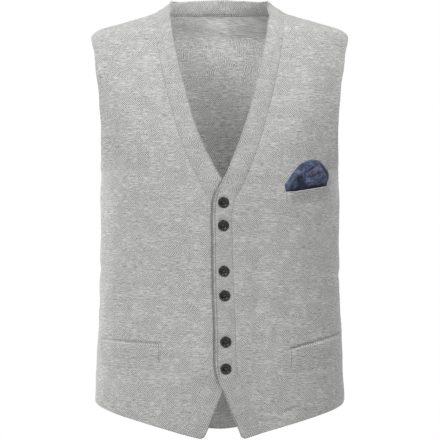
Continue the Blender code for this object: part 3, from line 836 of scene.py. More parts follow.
def joined(parts):
    """Several (points, faces, UVs, material numbers) as one."""
    points, faces, uvs, numbers = zip(*parts)
    starts = np.cumsum([0, *map(len, points)])
    moved = [face + start for face, start in zip(faces, starts)]
    return np.vstack(points), np.vstack(moved), np.vstack(uvs), np.concatenate(numbers)


def six_sided_tube(path, radius, number):
    """A round thread along a path, closed at its ends: circles square to the path, on two turned axes."""
    sides = 6
    along = unit(np.gradient(path, axis=0))
    first = unit(np.cross(along, TUBE_AXIS))
    second = np.cross(along, first)
    angle = np.linspace(0, FULL_TURN, sides, endpoint=False)[None, :, None]
    width = np.full(len(path), radius)
    width[[0, -1]] = radius * TUBE_END
    circle = np.cos(angle) * first[:, None] + np.sin(angle) * second[:, None]
    points = path[:, None] + circle * width[:, None, None]
    index = np.arange(len(path) * sides).reshape(len(path), sides)
    after = np.roll(index, -1, 1)
    faces = np.stack([index[:-1], after[:-1], after[1:], index[1:]], -1).reshape(-1, 4)
    foot, tip = index[0], index[-1]
    faces = np.vstack([faces, foot[[0, 3, 2, 1]], foot[[0, 5, 4, 3]], tip[:4], tip[[0, 3, 4, 5]]])
    return points.reshape(-1, 3), faces, np.zeros((points.size // 3, 2)), np.full(len(faces), number)


def make_piece(name, parts, materials, side=1):
    """A smooth mesh object at the origin with a UV map in metres. It rides on root and stands for its node.

    A third column beside the UVs becomes the attribute beside: on a band it is how far a point lies from the
    seam, and on the puff it is painted shade.
    """
    points, faces, uv, numbers = parts
    if side < 0:
        points, faces = points * [-1, 1, 1], faces[:, ::-1]
    mesh = bpy.data.meshes.new(name)
    mesh.from_pydata(points.tolist(), [], faces.tolist())
    for material in materials:
        mesh.materials.append(material)
    mesh.polygons.foreach_set("material_index", np.asarray(numbers, np.int32))
    corners = np.zeros(len(mesh.loops), np.int32)
    mesh.loops.foreach_get("vertex_index", corners)
    layer = mesh.uv_layers.new(name="cloth")
    layer.data.foreach_set("uv", uv[corners, :2].astype(np.float32).ravel())
    if uv.shape[1] > 2:
        beside = mesh.attributes.new("beside", "FLOAT", "POINT")
        beside.data.foreach_set("value", uv[:, 2].astype(np.float32))
    mesh.shade_smooth()
    piece = bpy.data.objects.new(name, mesh)
    bpy.context.scene.collection.objects.link(piece)
    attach(piece, "root")
    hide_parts(name)
    return piece


def cloth_uv(grid, base):
    """Metres round the body and metres up the cloth for each point of a grid, and around for the tables.

    Metres up are summed along each column: a step's length without its part along the ring.
    """
    metres_round, around = round_the_body(grid)
    tangent = unit(on_form(grid + [TURN_STEP, 0]) - on_form(grid - [TURN_STEP, 0]))
    step = np.diff(base, axis=0)
    ringwise = np.sum(step * tangent[:-1], -1)
    climb = np.sqrt(np.clip(np.sum(step**2, -1) - ringwise**2, 0, None)) * np.sign(step[..., 2])
    up = grid[:1, :, 1] + np.concatenate([np.zeros((1, climb.shape[1])), np.cumsum(climb, 0)])
    return np.stack([metres_round, up], -1), around


def worn(grid, side, cloth, extra=0.0, dips=(0, 0, 0, 0), seam="edge", crown=0.0, uv=None):
    """A piece of cloth on the form, as shell's parts, for the wearer's left.

    Its height is the folds and waves of the body, plus extra, plus a crown across it, plus small puckers
    that fade within millimetres of the seams. A bell along each seam pinches the sheet from both faces, or
    dips it to lie flat on what it is sewn to. dips has each edge's share of the seam dip, 0 if it is free.
    """
    seam_reach, pucker, sink, pinch = SEAMS[seam]
    base, normal = on_form(grid), outward(grid)
    body_uv, around = cloth_uv(grid, base)
    if side < 0:
        body_uv = body_uv + RIGHT_CLOTH_SHIFT
    level = grid[..., 1]
    height = body_relief(around * side, level) + extra
    edges = from_edges(base)
    drift = PUCKER_DRIFT * np.sin(PUCKER_DRIFT_UP * level / MM)
    wave = np.sin(PUCKER_UP * level / MM + drift) * np.cos(PUCKER_ROUND * around / MM)
    dips = [dip * settings("waistcoat_cloth").seam_dip for dip in dips]
    depth = np.zeros_like(level)
    for reach, dip in zip(edges, dips):
        depth = np.maximum(depth, dip * bell(reach, seam_reach))
        height = height + pucker * dip * wave * np.exp(-reach / PUCKER_REACH)
    across = edges[2] / (edges[2] + edges[3])
    height = height - sink * depth + crown * (4 * across * (1 - across)) ** CROWN_FULLNESS
    sewn = [np.broadcast_to(dip, level.shape) > 0 for dip in dips]
    at_edge = (sewn[0][0], sewn[1][-1], sewn[2][:, 0], sewn[3][:, -1])
    amounts = [cloth * np.where(edge, SEAM_DRAW, EDGE_DRAW) for edge in at_edge]
    middle, push = drawn_in(base + normal * (height + cloth / 2)[..., None], amounts)
    half = normal * (cloth / 2 - pinch * depth)[..., None]
    return shell(middle - half, middle + half, normal, push, body_uv if uv is None else uv)


# ---- Materials


def opaque(colour):
    return (*colour, 1)


def scaled(colour, share):
    return tuple(part * share for part in colour)


class Graph:
    """A new material and short ways to add nodes to it."""

    def __init__(self, name, roughness, sheen=0.0, specular=0.25):
        self.material = bpy.data.materials.new(name)
        self.material.use_nodes = True
        self.tree = self.material.node_tree
        self.shader = self.tree.nodes["Principled BSDF"]
        self.shader.inputs["Roughness"].default_value = roughness
        self.shader.inputs["Sheen Weight"].default_value = sheen
        self.shader.inputs["Sheen Roughness"].default_value = SHEEN_ROUGHNESS
        self.shader.inputs["Specular IOR Level"].default_value = specular

    def put(self, socket, value):
        """A link if value is a socket, else a number or colour on the socket itself."""
        if isinstance(value, bpy.types.NodeSocket):
            self.tree.links.new(value, socket)
        else:
            socket.default_value = value

    def add(self, kind, inputs, **options):
        """A new node with these options, and these values on its inputs, by number or name."""
        node = self.tree.nodes.new("ShaderNode" + kind)
        for name, value in options.items():
            setattr(node, name, value)
        for key, value in inputs.items():
            self.put(node.inputs[key], value)
        return node.outputs

    def maths(self, operation, *values):
        return self.add("Math", dict(enumerate(values)), operation=operation)[0]

    def times(self, first, *others):
        """The product of several values."""
        for other in others:
            first = self.maths("MULTIPLY", first, other)
        return first

    def ramp(self, value, low, high, to_low=0.0, to_high=1.0):
        values = (value, low, high, to_low, to_high)
        return self.add("MapRange", dict(enumerate(values)), interpolation_type="SMOOTHSTEP")[0]

    def place(self, u, v, w=0.0):
        return self.add("CombineXYZ", {0: u, 1: v, 2: w})[0]

    def beside(self):
        return self.add("Attribute", {}, attribute_name="beside")["Fac"]

    def cloth_place(self):
        """The two parts of the piece's own UV map, in metres."""
        place = self.add("UVMap", {}, uv_map="cloth")[0]
        parts = self.add("SeparateXYZ", {0: place})
        return parts[0], parts[1]

    def object_place(self):
        return self.add("TexCoord", {})["Object"]

    def noise(self, where, scale, detail=2.0, roughness=0.5, warp=0.0):
        values = {"Vector": where, "Scale": scale, "Detail": detail, "Roughness": roughness}
        return self.add("TexNoise", {**values, "Distortion": warp})[0]

    def mix(self, share, first, second):
        return self.add("Mix", {"Factor": share, 6: first, 7: second}, data_type="RGBA")[2]

    def bump(self, height, distance):
        values = {"Strength": 1.0, "Distance": distance, "Height": height}
        self.put(self.shader.inputs["Normal"], self.add("Bump", values)[0])


def stitched(g, cloth, u, v, lines):
    """The cloth's colour with lines of stitches and of painted shade on it, each a row of dark dots between
    two heights.

    A dot is a ramp of the sine of the height. A line fades out on both its sides and at both its ends.
    """
    look = settings("waistcoat_cloth")
    dots = g.ramp(g.maths("SINE", g.times(v, FULL_TURN / look.pitch)), *STITCH_DOTS)
    for start, middle, half_width, low, high, depth in lines:
        away = g.beside() if start == "seam" else u
        outer, inner = half_width * MM, STITCH_CORE * half_width * MM
        near = g.ramp(away, middle * MM - outer, middle * MM - inner)
        far = g.ramp(away, middle * MM + outer, middle * MM + inner)
        foot = g.ramp(v, low * MM, (low + STITCH_FADE[0]) * MM)
        top = g.ramp(v, high * MM, (high - STITCH_FADE[1]) * MM, 0, depth)
        cloth = g.mix(g.times(near, far, foot, top, dots), cloth, opaque(look.stitches_and_shade))
    return cloth


def knit(name, lattice, slubs, streaks, shade, stitches_and_shade):
    """Two-yarn knit: a lattice of dots (a product of cosines), stronger in patches, and grains of noise."""
    look = settings("waistcoat_cloth")
    g = Graph(name, roughness=0.93, sheen=0.3, specular=0.18)
    u, v = g.cloth_place()
    wander = g.noise(g.place(u, v), WANDER_SCALE)
    shift = g.times(g.maths("SUBTRACT", wander, 0.5), look.pitch * WANDER)
    turns = FULL_TURN / look.pitch
    waves_both_ways = [g.maths("COSINE", g.times(g.maths("ADD", way, shift), turns)) for way in (u, v)]
    dots = g.ramp(g.times(*waves_both_ways), *DOTS)
    patches = g.noise(g.place(u, v, 5.0), PATCH_SCALE, detail=1.0)
    strength = g.ramp(patches, *PATCH_EDGES, *(-part * lattice for part in PATCH_STRENGTHS))
    tone = g.maths("MULTIPLY_ADD", g.maths("SUBTRACT", dots, 0.5), strength, MIDDLE_TONE)
    grain = {}
    for kind, share in (("slub", slubs), ("streak", streaks), ("fibre", FIBRE), ("cloud", CLOUD)):
        wide, high, start, scale, roughness = GRAINS[kind]
        where = g.place(g.times(u, wide), g.times(v, high), start)
        grain[kind] = g.noise(where, scale, roughness=roughness)
        tone = g.maths("MULTIPLY_ADD", g.maths("SUBTRACT", grain[kind], 0.5), share, tone)
    # Painted light and shade: shade scales both yarns, lighter on the inside knit and darker on the band
    # knit
    dark, light = (opaque(scaled(yarn, shade)) for yarn in (look.dark_yarn, look.light_yarn))
    cloth = stitched(g, g.mix(tone, dark, light), u, v, stitches_and_shade)
    g.put(g.shader.inputs["Base Color"], cloth)
    g.put(g.shader.inputs["Sheen Tint"], SHEEN_TINT)
    rough = g.maths("MULTIPLY_ADD", dots, DOT_DEPTH, g.times(grain["fibre"], FIBRE_HEIGHT))
    g.bump(g.maths("MULTIPLY_ADD", grain["slub"], SLUB_HEIGHT, rough), KNIT_BUMP)
    return g.material


def puff_print(name):
    """Fine cotton in navy with pale swirls, and painted shade down in its folds, just above its mouth and at
    its rim.

    The swirls are narrow bands of a warped noise, over soft patches of a second and a third colour.
    """
    look = settings("waistcoat_trims")
    g = Graph(name, roughness=0.7, sheen=0.2, specular=0.3)
    u, v = g.cloth_place()
    along = g.maths("ADD", g.times(u, 0.4), g.times(v, 0.25))
    across = g.maths("SUBTRACT", v, g.times(u, 0.7))
    swirl = g.noise(g.place(along, across), 62.0, detail=1.0, warp=1.0)
    ripple = g.maths("ABSOLUTE", g.maths("SINE", g.times(swirl, 24.0)))
    line = g.ramp(ripple, 0.55, 0.02, to_high=0.6)
    second = g.ramp(g.noise(g.place(u, v, 5.0), 60.0, detail=1.0, warp=1.2), 0.5, 0.62)
    pale = g.ramp(g.noise(g.place(u, v, 9.0), 95.0, detail=1.0), 0.48, 0.66, to_high=0.28)
    pattern = g.mix(second, opaque(look.puff_ground), opaque(look.puff_second))
    for share in (pale, line):
        pattern = g.mix(share, pattern, opaque(look.puff_lines))
    # Painted shade: the attribute beside says how deep a point lies in a crease, above the mouth or at the
    # rim, and mixes the print towards the painted shade colour
    painted_fold_shade = g.ramp(g.beside(), 0.15, 1.0, to_high=0.9)
    g.put(g.shader.inputs["Base Color"], g.mix(painted_fold_shade, pattern, opaque(look.puff_painted_shade)))
    g.bump(g.noise(g.place(u, v, 2.0), 2600.0), 0.08 * MM)
    return g.material


def resin(name):
    """Near-black horn-like resin, with small lighter clouds in it."""
    base = settings("waistcoat_trims").button_colour
    g = Graph(name, roughness=0.24, specular=0.55)
    cloud = g.ramp(g.noise(g.object_place(), 330.0), 0.5, 0.72)
    g.put(g.shader.inputs["Base Color"], g.mix(cloud, opaque(base), opaque(scaled(base, 7))))
    return g.material


def thread(name):
    """Twisted thread, as a fine grain."""
    base = settings("waistcoat_trims").thread_colour
    g = Graph(name, roughness=0.85, sheen=0.2, specular=0.2)
    grain = g.noise(g.object_place(), 2400.0)
    g.put(g.shader.inputs["Base Color"], g.mix(grain, opaque(scaled(base, 0.5)), opaque(base)))
    return g.material


def shared(name, make, *values):
    """The material of this name, made once."""
    return bpy.data.materials.get(name) or make(name, *values)


def knits(*names):
    """The knits of these names in the table of them."""
    return [shared(name, knit, *KNITS[name]) for name in names]


# ---- What a user would change


def colour(name, description, default):
    return bpy.props.FloatVectorProperty(
        name=name, description=description, default=default, size=3, min=0, max=1, subtype="COLOR"
    )


def number(name, description, default, low, high):
    return bpy.props.FloatProperty(
        name=name, description=description, default=default, min=low, max=high
    )


def length(name, description, default, low, high):
    return bpy.props.FloatProperty(
        name=name, description=description, default=default, min=low, max=high, unit="LENGTH", precision=4
    )


def power(name, where, default):
    return number(name, f"Power of the soft light {where}, in watts", default, 0, 1000)


def settings(group):
    return getattr(bpy.context.scene, group)


class ClothSettings(bpy.types.PropertyGroup):
    light_yarn: colour("Light yarn", "Colour of the knit's lighter yarn", (0.74, 0.74, 0.724))
    dark_yarn: colour("Dark yarn", "Colour of the knit's darker yarn", (0.27, 0.27, 0.265))
    pitch: length("Dot pitch", "Distance between the dots of the knit's lattice", 3.3 * MM, MM, 20 * MM)
    fold_depth: number("Fold depth", "Depth of the soft folds, 1 as worn here and 0 for none", 1.0, 0, 2)
    # The same colour darkens the painted shadow line along the band's fold
    stitches_and_shade: colour("Stitches", "Colour of the stitched lines, down in their pits", (0.1, 0.1, 0.097))
    seam_dip: length("Seam dip", "How far the cloth is drawn in along a seam", 0.6 * MM, 0, 2 * MM)


class TrimSettings(bpy.types.PropertyGroup):
    button_size: length("Button size", "Diameter of a button", BUTTON_SIZE, MM, 30 * MM)
    button_colour: colour("Button colour", "Colour of the button resin", (0.008, 0.008, 0.007))
    thread_colour: colour("Thread colour", "Colour of the buttons' thread", (0.16, 0.16, 0.155))
    puff_ground: colour("Puff ground", "Main colour of the puff's print", (0.044, 0.063, 0.124))
    puff_second: colour("Puff second colour", "Patches in the puff's print", (0.055, 0.048, 0.105))
    # Painted shade: the colour the print goes to down in its creases, just above the mouth and at its rim
    puff_painted_shade: colour("Puff deep colour", "The puff's print down in its folds", (0.012, 0.014, 0.04))
    puff_lines: colour("Puff lines", "Fine swirls in the puff's print", (0.21, 0.27, 0.4))


class StageSettings(bpy.types.PropertyGroup):
    key_power: power("Key light", "at the upper left", 50.0)
    front_power: power("Front light", "in front, which is wide", 10.8)
    shoulder_power: power("Shoulder light", "over the wearer's left shoulder", 4.7)
    neck_power: power("Neck light", "inside the neck, which is small", 0.028)
    rim_left_power: power("Left rim light", "behind on the left", 33.0)
    rim_right_power: power("Right rim light", "behind on the right", 13.0)
    surround: number("Surround", "Strength of the even light from all round", 0.37, 0, 10)
    floor_colour: colour("Floor colour", "Colour of the plain floor", (0.6, 0.6, 0.6))


# ---- The pieces


def below_underarm(level):
    """0 above the underarm and 1 below it, where the side seam is."""
    return smooth_step(level, UNDERARM, UNDERARM - SIDE_SEAM_FADE)


def make_front(name, side, table):
    """A front panel, its hem and armhole edge turned, its other edges drawn into seams."""
    seam = band_lines(table)[1]
    outer = side_line("front", FRONT_ROWS)
    grid = patch(front_hem(seam[0]), shoulder_seam(FRONT_COLUMNS), seam, outer)
    base = on_form(grid)
    x, level = base[..., 0], base[..., 2]
    extra = pocket_slits(x, level, side) + front_relief(x, level, side)
    parts = worn(grid, side, PANEL_CLOTH, extra, (0, 1, BAND_DIP, below_underarm(level)))
    return make_piece(name, parts, knits("knit_outside", "knit_inside"), side)


def band_uv(grid):
    """Metres across a band and metres along it, from the sums of its steps."""
    base = on_form(grid)
    across = from_edges(base)[2]
    along = from_edges(base)[0]
    along = np.broadcast_to(along[:, along.shape[1] // 2, None], along.shape)
    return np.stack([across, along], -1)


def edge_groove(uv):
    """A narrow groove beside the fold of the buttoned edge, where the layers are stitched through."""
    share = smooth_step(uv[..., 1], *GROOVE_FOOT) * smooth_step(uv[..., 1], *GROOVE_TOP)
    return -GROOVE_DEPTH * share * bell(uv[..., 0] - GROOVE_AWAY, GROOVE_HALF_WIDTH)


def rounded_tip(grid):
    """A band's grid with its tip rounded: a square at the corner goes to a quarter of a disc.

    Each share of the way to an edge is scaled by the root of one less half the other's square.
    """
    across, along = np.moveaxis(band_uv(grid), -1, 0)
    to_edge = np.clip(1 - across / TIP_RADIUS, 0, 1)
    to_hem = np.clip(1 - along / TIP_RADIUS, 0, 1)
    inward = TIP_RADIUS * to_edge * (1 - np.sqrt(1 - to_hem**2 / 2))
    upward = TIP_RADIUS * to_hem * (1 - np.sqrt(1 - to_edge**2 / 2))
    row_step = (grid[:, -1:] - grid[:, :1]) / across[:, -1:, None]
    column_step = np.gradient(grid, axis=0) / np.gradient(along, axis=0)[..., None]
    return grid + inward[..., None] * row_step + upward[..., None] * column_step


def make_front_band(name, side, table):
    """A doubled band up the cutaway, the front edge and the V: a fold at one edge, a seam at the other."""
    grid = rounded_tip(strip(*band_lines(table), BAND_COLUMNS))
    base = on_form(grid)
    uv = band_uv(grid)
    extra = front_relief(base[..., 0], base[..., 2], side)
    if side > 0:
        extra = extra + edge_groove(uv)
    from_seam = from_edges(base)[3]
    extra = extra - (BAND_CLOTH - PANEL_CLOTH) * bell(from_seam, FLUSH_REACH)
    uv = np.concatenate([uv, from_seam[..., None]], -1)
    parts = worn(grid, side, BAND_CLOTH, extra, (0, BAND_DIP, 0, BAND_DIP), crown=BAND_CROWN, uv=uv)
    return make_piece(name, parts, knits("band_cloth", "band_cloth"), side)


def make_back():
    """The back, one piece: a middle under the neck, and the two sides under the shoulders."""
    line = neck_point_line()
    start = line[0, 0]
    side_hem = back_hem(start, SIDE, BACK_SIDE_COLUMNS, CROWDING)
    side = patch(side_hem, shoulder_seam(BACK_SIDE_COLUMNS), line, side_line("back", BACK_ROWS))
    neck = neck_line(NECK_POINT, BACK_NECK_SEAM, NECK_COLUMNS)
    middle = patch(back_hem(start, FULL_TURN - start, NECK_COLUMNS), neck, line, other_side(line))
    grid = np.hstack([side[:, :0:-1], middle, other_side(side)[:, 1:]])
    side_seam = below_underarm(grid[..., 1])
    parts = worn(grid, 1, PANEL_CLOTH, 0.0, (0, 1, side_seam, side_seam))
    return make_piece("back", parts, knits("knit_outside", "knit_inside"))


def make_back_band():
    """The doubled band round the back of the neck, between the two shoulder seams."""
    seam = neck_line(NECK_POINT, BACK_NECK_SEAM, NECK_BAND_COLUMNS)
    edge = neck_line(BAND_TOP_AT_SIDE, BAND_TOP_AT_BACK, NECK_BAND_COLUMNS)
    strips = strip(seam, edge, NECK_BAND_ROWS)
    uv = band_uv(strips).swapaxes(0, 1)
    dips = (NECK_DIP, 0, BAND_DIP, BAND_DIP)
    parts = worn(strips.swapaxes(0, 1), 1, BAND_CLOTH, 0.0, dips, uv=uv)
    return make_piece("band_back", parts, knits("band_cloth", "neck_inside"))


def gape_of(welt, share, rise):
    """How far a pocket's mouth stands open, in millimetres: most in its middle, and at the welt's top."""
    full = smooth_step(share, 0, GAPE_ENDS) * smooth_step(share, 1, 1 - GAPE_ENDS)
    return welt["gape"] * full * rise**GAPE_CURVE


def make_welt(name):
    """A pocket welt on a front, stitched down at its foot and ends, its fold at the mouth standing off."""
    welt = welt_of(name)
    share = np.linspace(0, 1, WELT_COLUMNS + 1)[None, :]
    rise = np.linspace(0, 1, WELT_ROWS + 1)[:, None]
    below = (rise - 1) * welt["height"]
    start, end = (
        turn_at("front", welt[at + "_x"] * MM, (welt[at + "_level"] + below) * MM)
        for at in ("inner", "outer")
    )
    turn = start + (end - start) * share
    level = (welt["inner_level"] + (welt["outer_level"] - welt["inner_level"]) * share + below) * MM
    gape = gape_of(welt, share, rise) * MM
    grid = np.stack([turn, level - 0.5 * gape], -1)
    extra = WELT_STEP + PANEL_CLOTH * smooth_step(rise, 0, WELT_FOOT) + gape
    from_end = from_edges(on_form(grid))[2]
    uv = np.stack([from_end, np.broadcast_to(level, from_end.shape)], -1)
    parts = worn(grid, welt["side"], PANEL_CLOTH, extra, WELT_DIPS, "flat", uv=uv)
    return make_piece(name, parts, knits("welt_cloth", "knit_inside"), welt["side"])


def puff_grid():
    """x and level of the puff's points: straight lines fan from its root in the mouth to its outline."""
    outline = spline(np.array(PUFF_OUTLINE, float))
    share = np.linspace(0, 1, PUFF_COLUMNS + 1)
    pace = distance_along(outline) / distance_along(outline)[-1]
    rim = np.stack([np.interp(share, pace, outline[:, k]) for k in (0, 1)], -1)
    first, last = np.array(PUFF_ROOT, float)
    root = first + (last - first) * share[:, None]
    up = np.linspace(0, 1, PUFF_ROWS + 1)[:, None, None]
    flat = ((1 - up) * root + up * rim) * MM
    return flat[..., 0], flat[..., 1], 2 * share[None] - 1, up[..., 0]


def make_puff():
    """The pocket puff, full in its middle, creased, and thin where it comes up through the mouth.

    Its fullness is a flat-topped hump across it, times the root of a sine from its root to its rim.
    """
    x, level, across, up = puff_grid()
    grid = np.stack([turn_at("front", x, level), level], -1)
    base, normal = on_form(grid), outward(grid)
    _, around = round_the_body(grid)
    hump = np.clip(1 - np.abs(across) ** PUFF_SQUARENESS, 0, None)
    swell = hump * np.clip(np.sin(np.pi * up**PUFF_LEAN), 0, None) ** PUFF_FULLNESS
    welt = welt_of("welt_breast")
    share, mouth = mouth_at(welt, x)
    over = level / MM - mouth
    room = gape_of(welt, share, np.clip(1 + over / welt["height"], 0, 1))
    freed = smooth_step(over, *PUFF_FREED)
    crease = folds(x, level, PUFF_FOLDS, PUFF_FOLD_HEADS, PUFF_FADE)
    puffed = (PUFF_THIN + PUFF_FULL * swell) * MM + crease * smooth_step(swell, 0.1, 0.7)
    held = (0.3 + 0.2 * room) * MM
    puffed = np.clip(freed * puffed + (1 - freed) * held, 0.4 * MM, None)
    low = body_relief(around, level) + PANEL_CLOTH + PUFF_GAP
    inner = base + normal * low[..., None]
    outer = base + normal * (low + puffed)[..., None]
    _, push = drawn_in(inner, (0, 0, 0, 0))
    # Painted shade for the print, carried as the third UV column: darker down in the creases, just above the
    # mouth and at the rim
    painted_mouth_shade, painted_rim_shade = smooth_step(over, *PUFF_MOUTH_SHADE), smooth_step(up, *PUFF_RIM_SHADE)
    depth = np.clip(-crease / PUFF_SHADE_CREASE, 0, 1) + 0.8 * painted_mouth_shade + 0.3 * painted_rim_shade
    uv = np.stack([x + 0.9 * crease, level - 1.4 * crease, np.clip(depth, 0, 1)], -1)
    parts = shell(inner, outer, normal, push, uv)
    cotton = shared("puff_print", puff_print)
    piece = make_piece("pocket_puff", parts, (cotton, cotton))
    return piece


def button_disc():
    """A four-hole button of radius 1 on the level, as shell's parts.

    A square grid is laid out in rings, so the outermost is the edge. The rings' heights give the dish and
    the raised rim, and four narrow flat-floored pits are taken out for the holes.
    """
    side = np.linspace(-1, 1, BUTTON_GRID + 1)
    a, b = np.meshgrid(side, side)
    ring_share = np.maximum(abs(a), abs(b))
    away = np.where(ring_share > 0, np.hypot(a, b), 1)
    shares, radii, heights = np.array(BUTTON_TOP).T
    radius = np.interp(ring_share, shares, radii)
    height = smooth_through(shares, heights, ring_share)
    x, y = radius * a / away, radius * b / away
    for hole_x, hole_y in BUTTON_HOLES:
        off = np.hypot(x - hole_x, y - hole_y)
        height = height - HOLE_DEPTH * np.exp(-((off / HOLE_RADIUS) ** 4))
    top = np.stack([x, y, height], -1)
    foot = np.stack([x, y, np.full_like(x, BUTTON_FOOT)], -1)
    up = np.broadcast_to([0.0, 0.0, 1.0], top.shape)
    out = np.stack([a / away, b / away, np.zeros_like(a)], -1)
    return shell(foot, top, up, out, top[..., :2])


def button_threads():
    """The two crossed threads over a button of radius 1, each in a flat arch between opposite holes."""
    share = np.linspace(0, 1, THREAD_STEPS + 1)[:, None]
    for start, end in THREADS:
        first, last = (np.array([*BUTTON_HOLES[k], THREAD_FOOT]) for k in (start, end))
        arch = np.array([0, 0, THREAD_RISE + THREAD_OVER * start]) * (1 - (2 * share - 1) ** 4)
        yield six_sided_tube(first * (1 - share) + last * share + arch, THREAD_RADIUS, 1)


def make_button(name):
    """A button with its thread, set square on the band and just clear of it."""
    points, faces, uv, _ = button_disc()
    size = settings("waistcoat_trims").button_size / 2
    disc = (points, faces, uv * size, np.zeros(len(faces)))
    points, faces, uv, numbers = joined([disc, *button_threads()])
    low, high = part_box(name)
    x, level = np.array((low.x + high.x) / 2), np.array((low.z + high.z) / 2)
    spot = np.array([turn_at("front", x, level), level])
    normal = Vector(outward(spot)[:])
    _, around = round_the_body(spot)
    lift = body_relief(around, level) + front_relief(x, level, 1) + BAND_CLOTH + BUTTON_SHANK
    turned = np.array(normal.to_track_quat("Z", "Y").to_matrix())
    points = points * size @ turned.T + on_form(spot) + np.array(normal) * lift
    made = (shared("dark_resin", resin), shared("button_thread", thread))
    return make_piece(name, (points, faces, uv, numbers), made)


# ---- The stage


def soft_light(name, place, size, spread_angle, target, tint, watts):
    """A round area light that the camera doesn't see, aimed at its target."""
    lamp = bpy.data.lights.new(name, "AREA")
    lamp.shape, lamp.size, lamp.energy, lamp.color = "DISK", size, watts, tint
    lamp.spread = np.radians(spread_angle)
    light = bpy.data.objects.new(name, lamp)
    light.location = place
    light.rotation_euler = (Vector(target) - light.location).to_track_quat("-Z", "Y").to_euler()
    light.visible_camera = False
    bpy.context.scene.collection.objects.link(light)


def make_world():
    """White where it is looked at, and dimmer where it lights the cloth."""
    world = bpy.data.worlds.new("studio")
    world.use_nodes = True
    bpy.context.scene.world = world
    tree = world.node_tree
    seen, lit = tree.nodes["Background"], tree.nodes.new("ShaderNodeBackground")
    seen.inputs["Color"].default_value = (1, 1, 1, 1)
    seen.inputs["Strength"].default_value = 1.0
    lit.inputs["Color"].default_value = SURROUND_TINT
    lit.inputs["Strength"].default_value = settings("waistcoat_stage").surround
    ray, mix = tree.nodes.new("ShaderNodeLightPath"), tree.nodes.new("ShaderNodeMixShader")
    tree.links.new(ray.outputs["Is Camera Ray"], mix.inputs[0])
    tree.links.new(lit.outputs[0], mix.inputs[1])
    tree.links.new(seen.outputs[0], mix.inputs[2])
    tree.links.new(mix.outputs[0], tree.nodes["World Output"].inputs[0])


def make_floor():
    """A round plain floor that glows faintly, so that it stays even, and lights nothing."""
    angle = np.linspace(0, FULL_TURN, FLOOR_SIDES, endpoint=False)
    x, y = FLOOR_RADIUS * np.cos(angle), FLOOR_RADIUS * np.sin(angle)
    points = np.stack([x, y, np.full_like(x, FLOOR_LEVEL)], -1)
    mesh = bpy.data.meshes.new("floor")
    mesh.from_pydata(points.tolist(), [], [list(range(FLOOR_SIDES))])
    g = Graph("floor", roughness=0.9, specular=0.1)
    g.put(g.shader.inputs["Base Color"], opaque(settings("waistcoat_stage").floor_colour))
    g.put(g.shader.inputs["Emission Color"], (1, 1, 1, 1))
    g.put(g.shader.inputs["Emission Strength"], FLOOR_GLOW)
    mesh.materials.append(g.material)
    floor = bpy.data.objects.new("floor", mesh)
    floor.visible_diffuse = False
    bpy.context.scene.collection.objects.link(floor)


# ---- Operators


class MakeFronts(bpy.types.Operator):
    """Makes the two front panels"""

    bl_idname = "waistcoat.fronts"
    bl_label = "Fronts"

    def execute(self, context):
        make_front("front_left", 1, LEFT_BAND)
        make_front("front_right", -1, RIGHT_BAND)
        return {"FINISHED"}


class MakeBack(bpy.types.Operator):
    """Makes the back panel"""

    bl_idname = "waistcoat.back"
    bl_label = "Back"

    def execute(self, context):
        make_back()
        return {"FINISHED"}


class MakeBands(bpy.types.Operator):
    """Makes the bands up the two fronts and round the back of the neck"""

    bl_idname = "waistcoat.bands"
    bl_label = "Bands"

    def execute(self, context):
        make_front_band("band_left", 1, LEFT_BAND)
        make_front_band("band_right", -1, RIGHT_BAND)
        make_back_band()
        return {"FINISHED"}


class MakeWelts(bpy.types.Operator):
    """Makes the three pocket welts"""

    bl_idname = "waistcoat.welts"
    bl_label = "Welts"

    def execute(self, context):
        make_welt("welt_lower_left")
        make_welt("welt_lower_right")
        make_welt("welt_breast")
        return {"FINISHED"}


class MakePuff(bpy.types.Operator):
    """Makes the puff in the breast pocket"""

    bl_idname = "waistcoat.puff"
    bl_label = "Pocket Puff"

    def execute(self, context):
        make_puff()
        return {"FINISHED"}


class MakeButtons(bpy.types.Operator):
    """Makes the six buttons with their thread"""

    bl_idname = "waistcoat.buttons"
    bl_label = "Buttons"

    def execute(self, context):
        for name in BUTTON_NAMES:
            make_button(name)
        return {"FINISHED"}


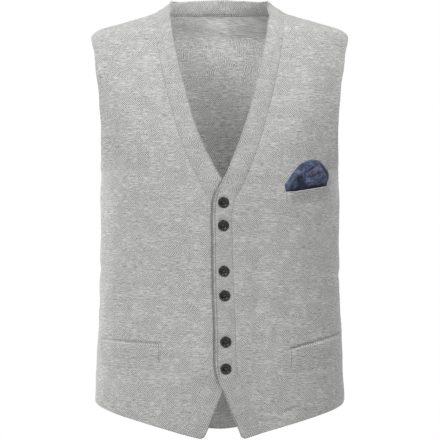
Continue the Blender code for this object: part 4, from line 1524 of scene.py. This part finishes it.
class MakeStage(bpy.types.Operator):
    """Makes the floor, the lights, the surround and the camera"""

    bl_idname = "waistcoat.stage"
    bl_label = "Stage"

    def execute(self, context):
        scene, look = context.scene, settings("waistcoat_stage")
        scene.view_settings.view_transform = "Standard"
        make_world()
        make_floor()
        for name, light in LIGHTS.items():
            soft_light(name, *light, getattr(look, name + "_power"))
        camera = bpy.data.objects.new("camera", bpy.data.cameras.new("camera"))
        camera.data.lens, camera.data.sensor_width = CAMERA_LENS, SENSOR_WIDTH
        camera.location = CAMERA_PLACE
        camera.rotation_euler = (SIDE, 0, 0)
        scene.collection.objects.link(camera)
        scene.camera = camera
        return {"FINISHED"}


OPERATORS = (MakeFronts, MakeBack, MakeBands, MakeWelts, MakePuff, MakeButtons, MakeStage)


class WaistcoatPanel(bpy.types.Panel):
    """Lists the waistcoat's settings and the buttons that make its pieces"""

    bl_idname = "VIEW3D_PT_waistcoat"
    bl_label = "Knitted Waistcoat"
    bl_space_type = "VIEW_3D"
    bl_region_type = "UI"
    bl_category = "Waistcoat"

    def draw(self, context):
        for group in GROUPS:
            values = getattr(context.scene, group)
            for name in values.__annotations__:
                self.layout.prop(values, name)
        for operator in OPERATORS:
            self.layout.operator(operator.bl_idname)


GROUPS = {
    "waistcoat_cloth": ClothSettings,
    "waistcoat_trims": TrimSettings,
    "waistcoat_stage": StageSettings,
}
CLASSES = (*GROUPS.values(), *OPERATORS, WaistcoatPanel)


def register():
    for made in CLASSES:
        bpy.utils.register_class(made)
    for group, made in GROUPS.items():
        setattr(bpy.types.Scene, group, bpy.props.PointerProperty(type=made))


def unregister():
    for group in GROUPS:
        delattr(bpy.types.Scene, group)
    for made in reversed(CLASSES):
        bpy.utils.unregister_class(made)


def main():
    register()
    bpy.ops.waistcoat.fronts()
    bpy.ops.waistcoat.back()
    bpy.ops.waistcoat.bands()
    bpy.ops.waistcoat.welts()
    bpy.ops.waistcoat.puff()
    bpy.ops.waistcoat.buttons()
    bpy.ops.waistcoat.stage()


if __name__ == "__main__":
    main()
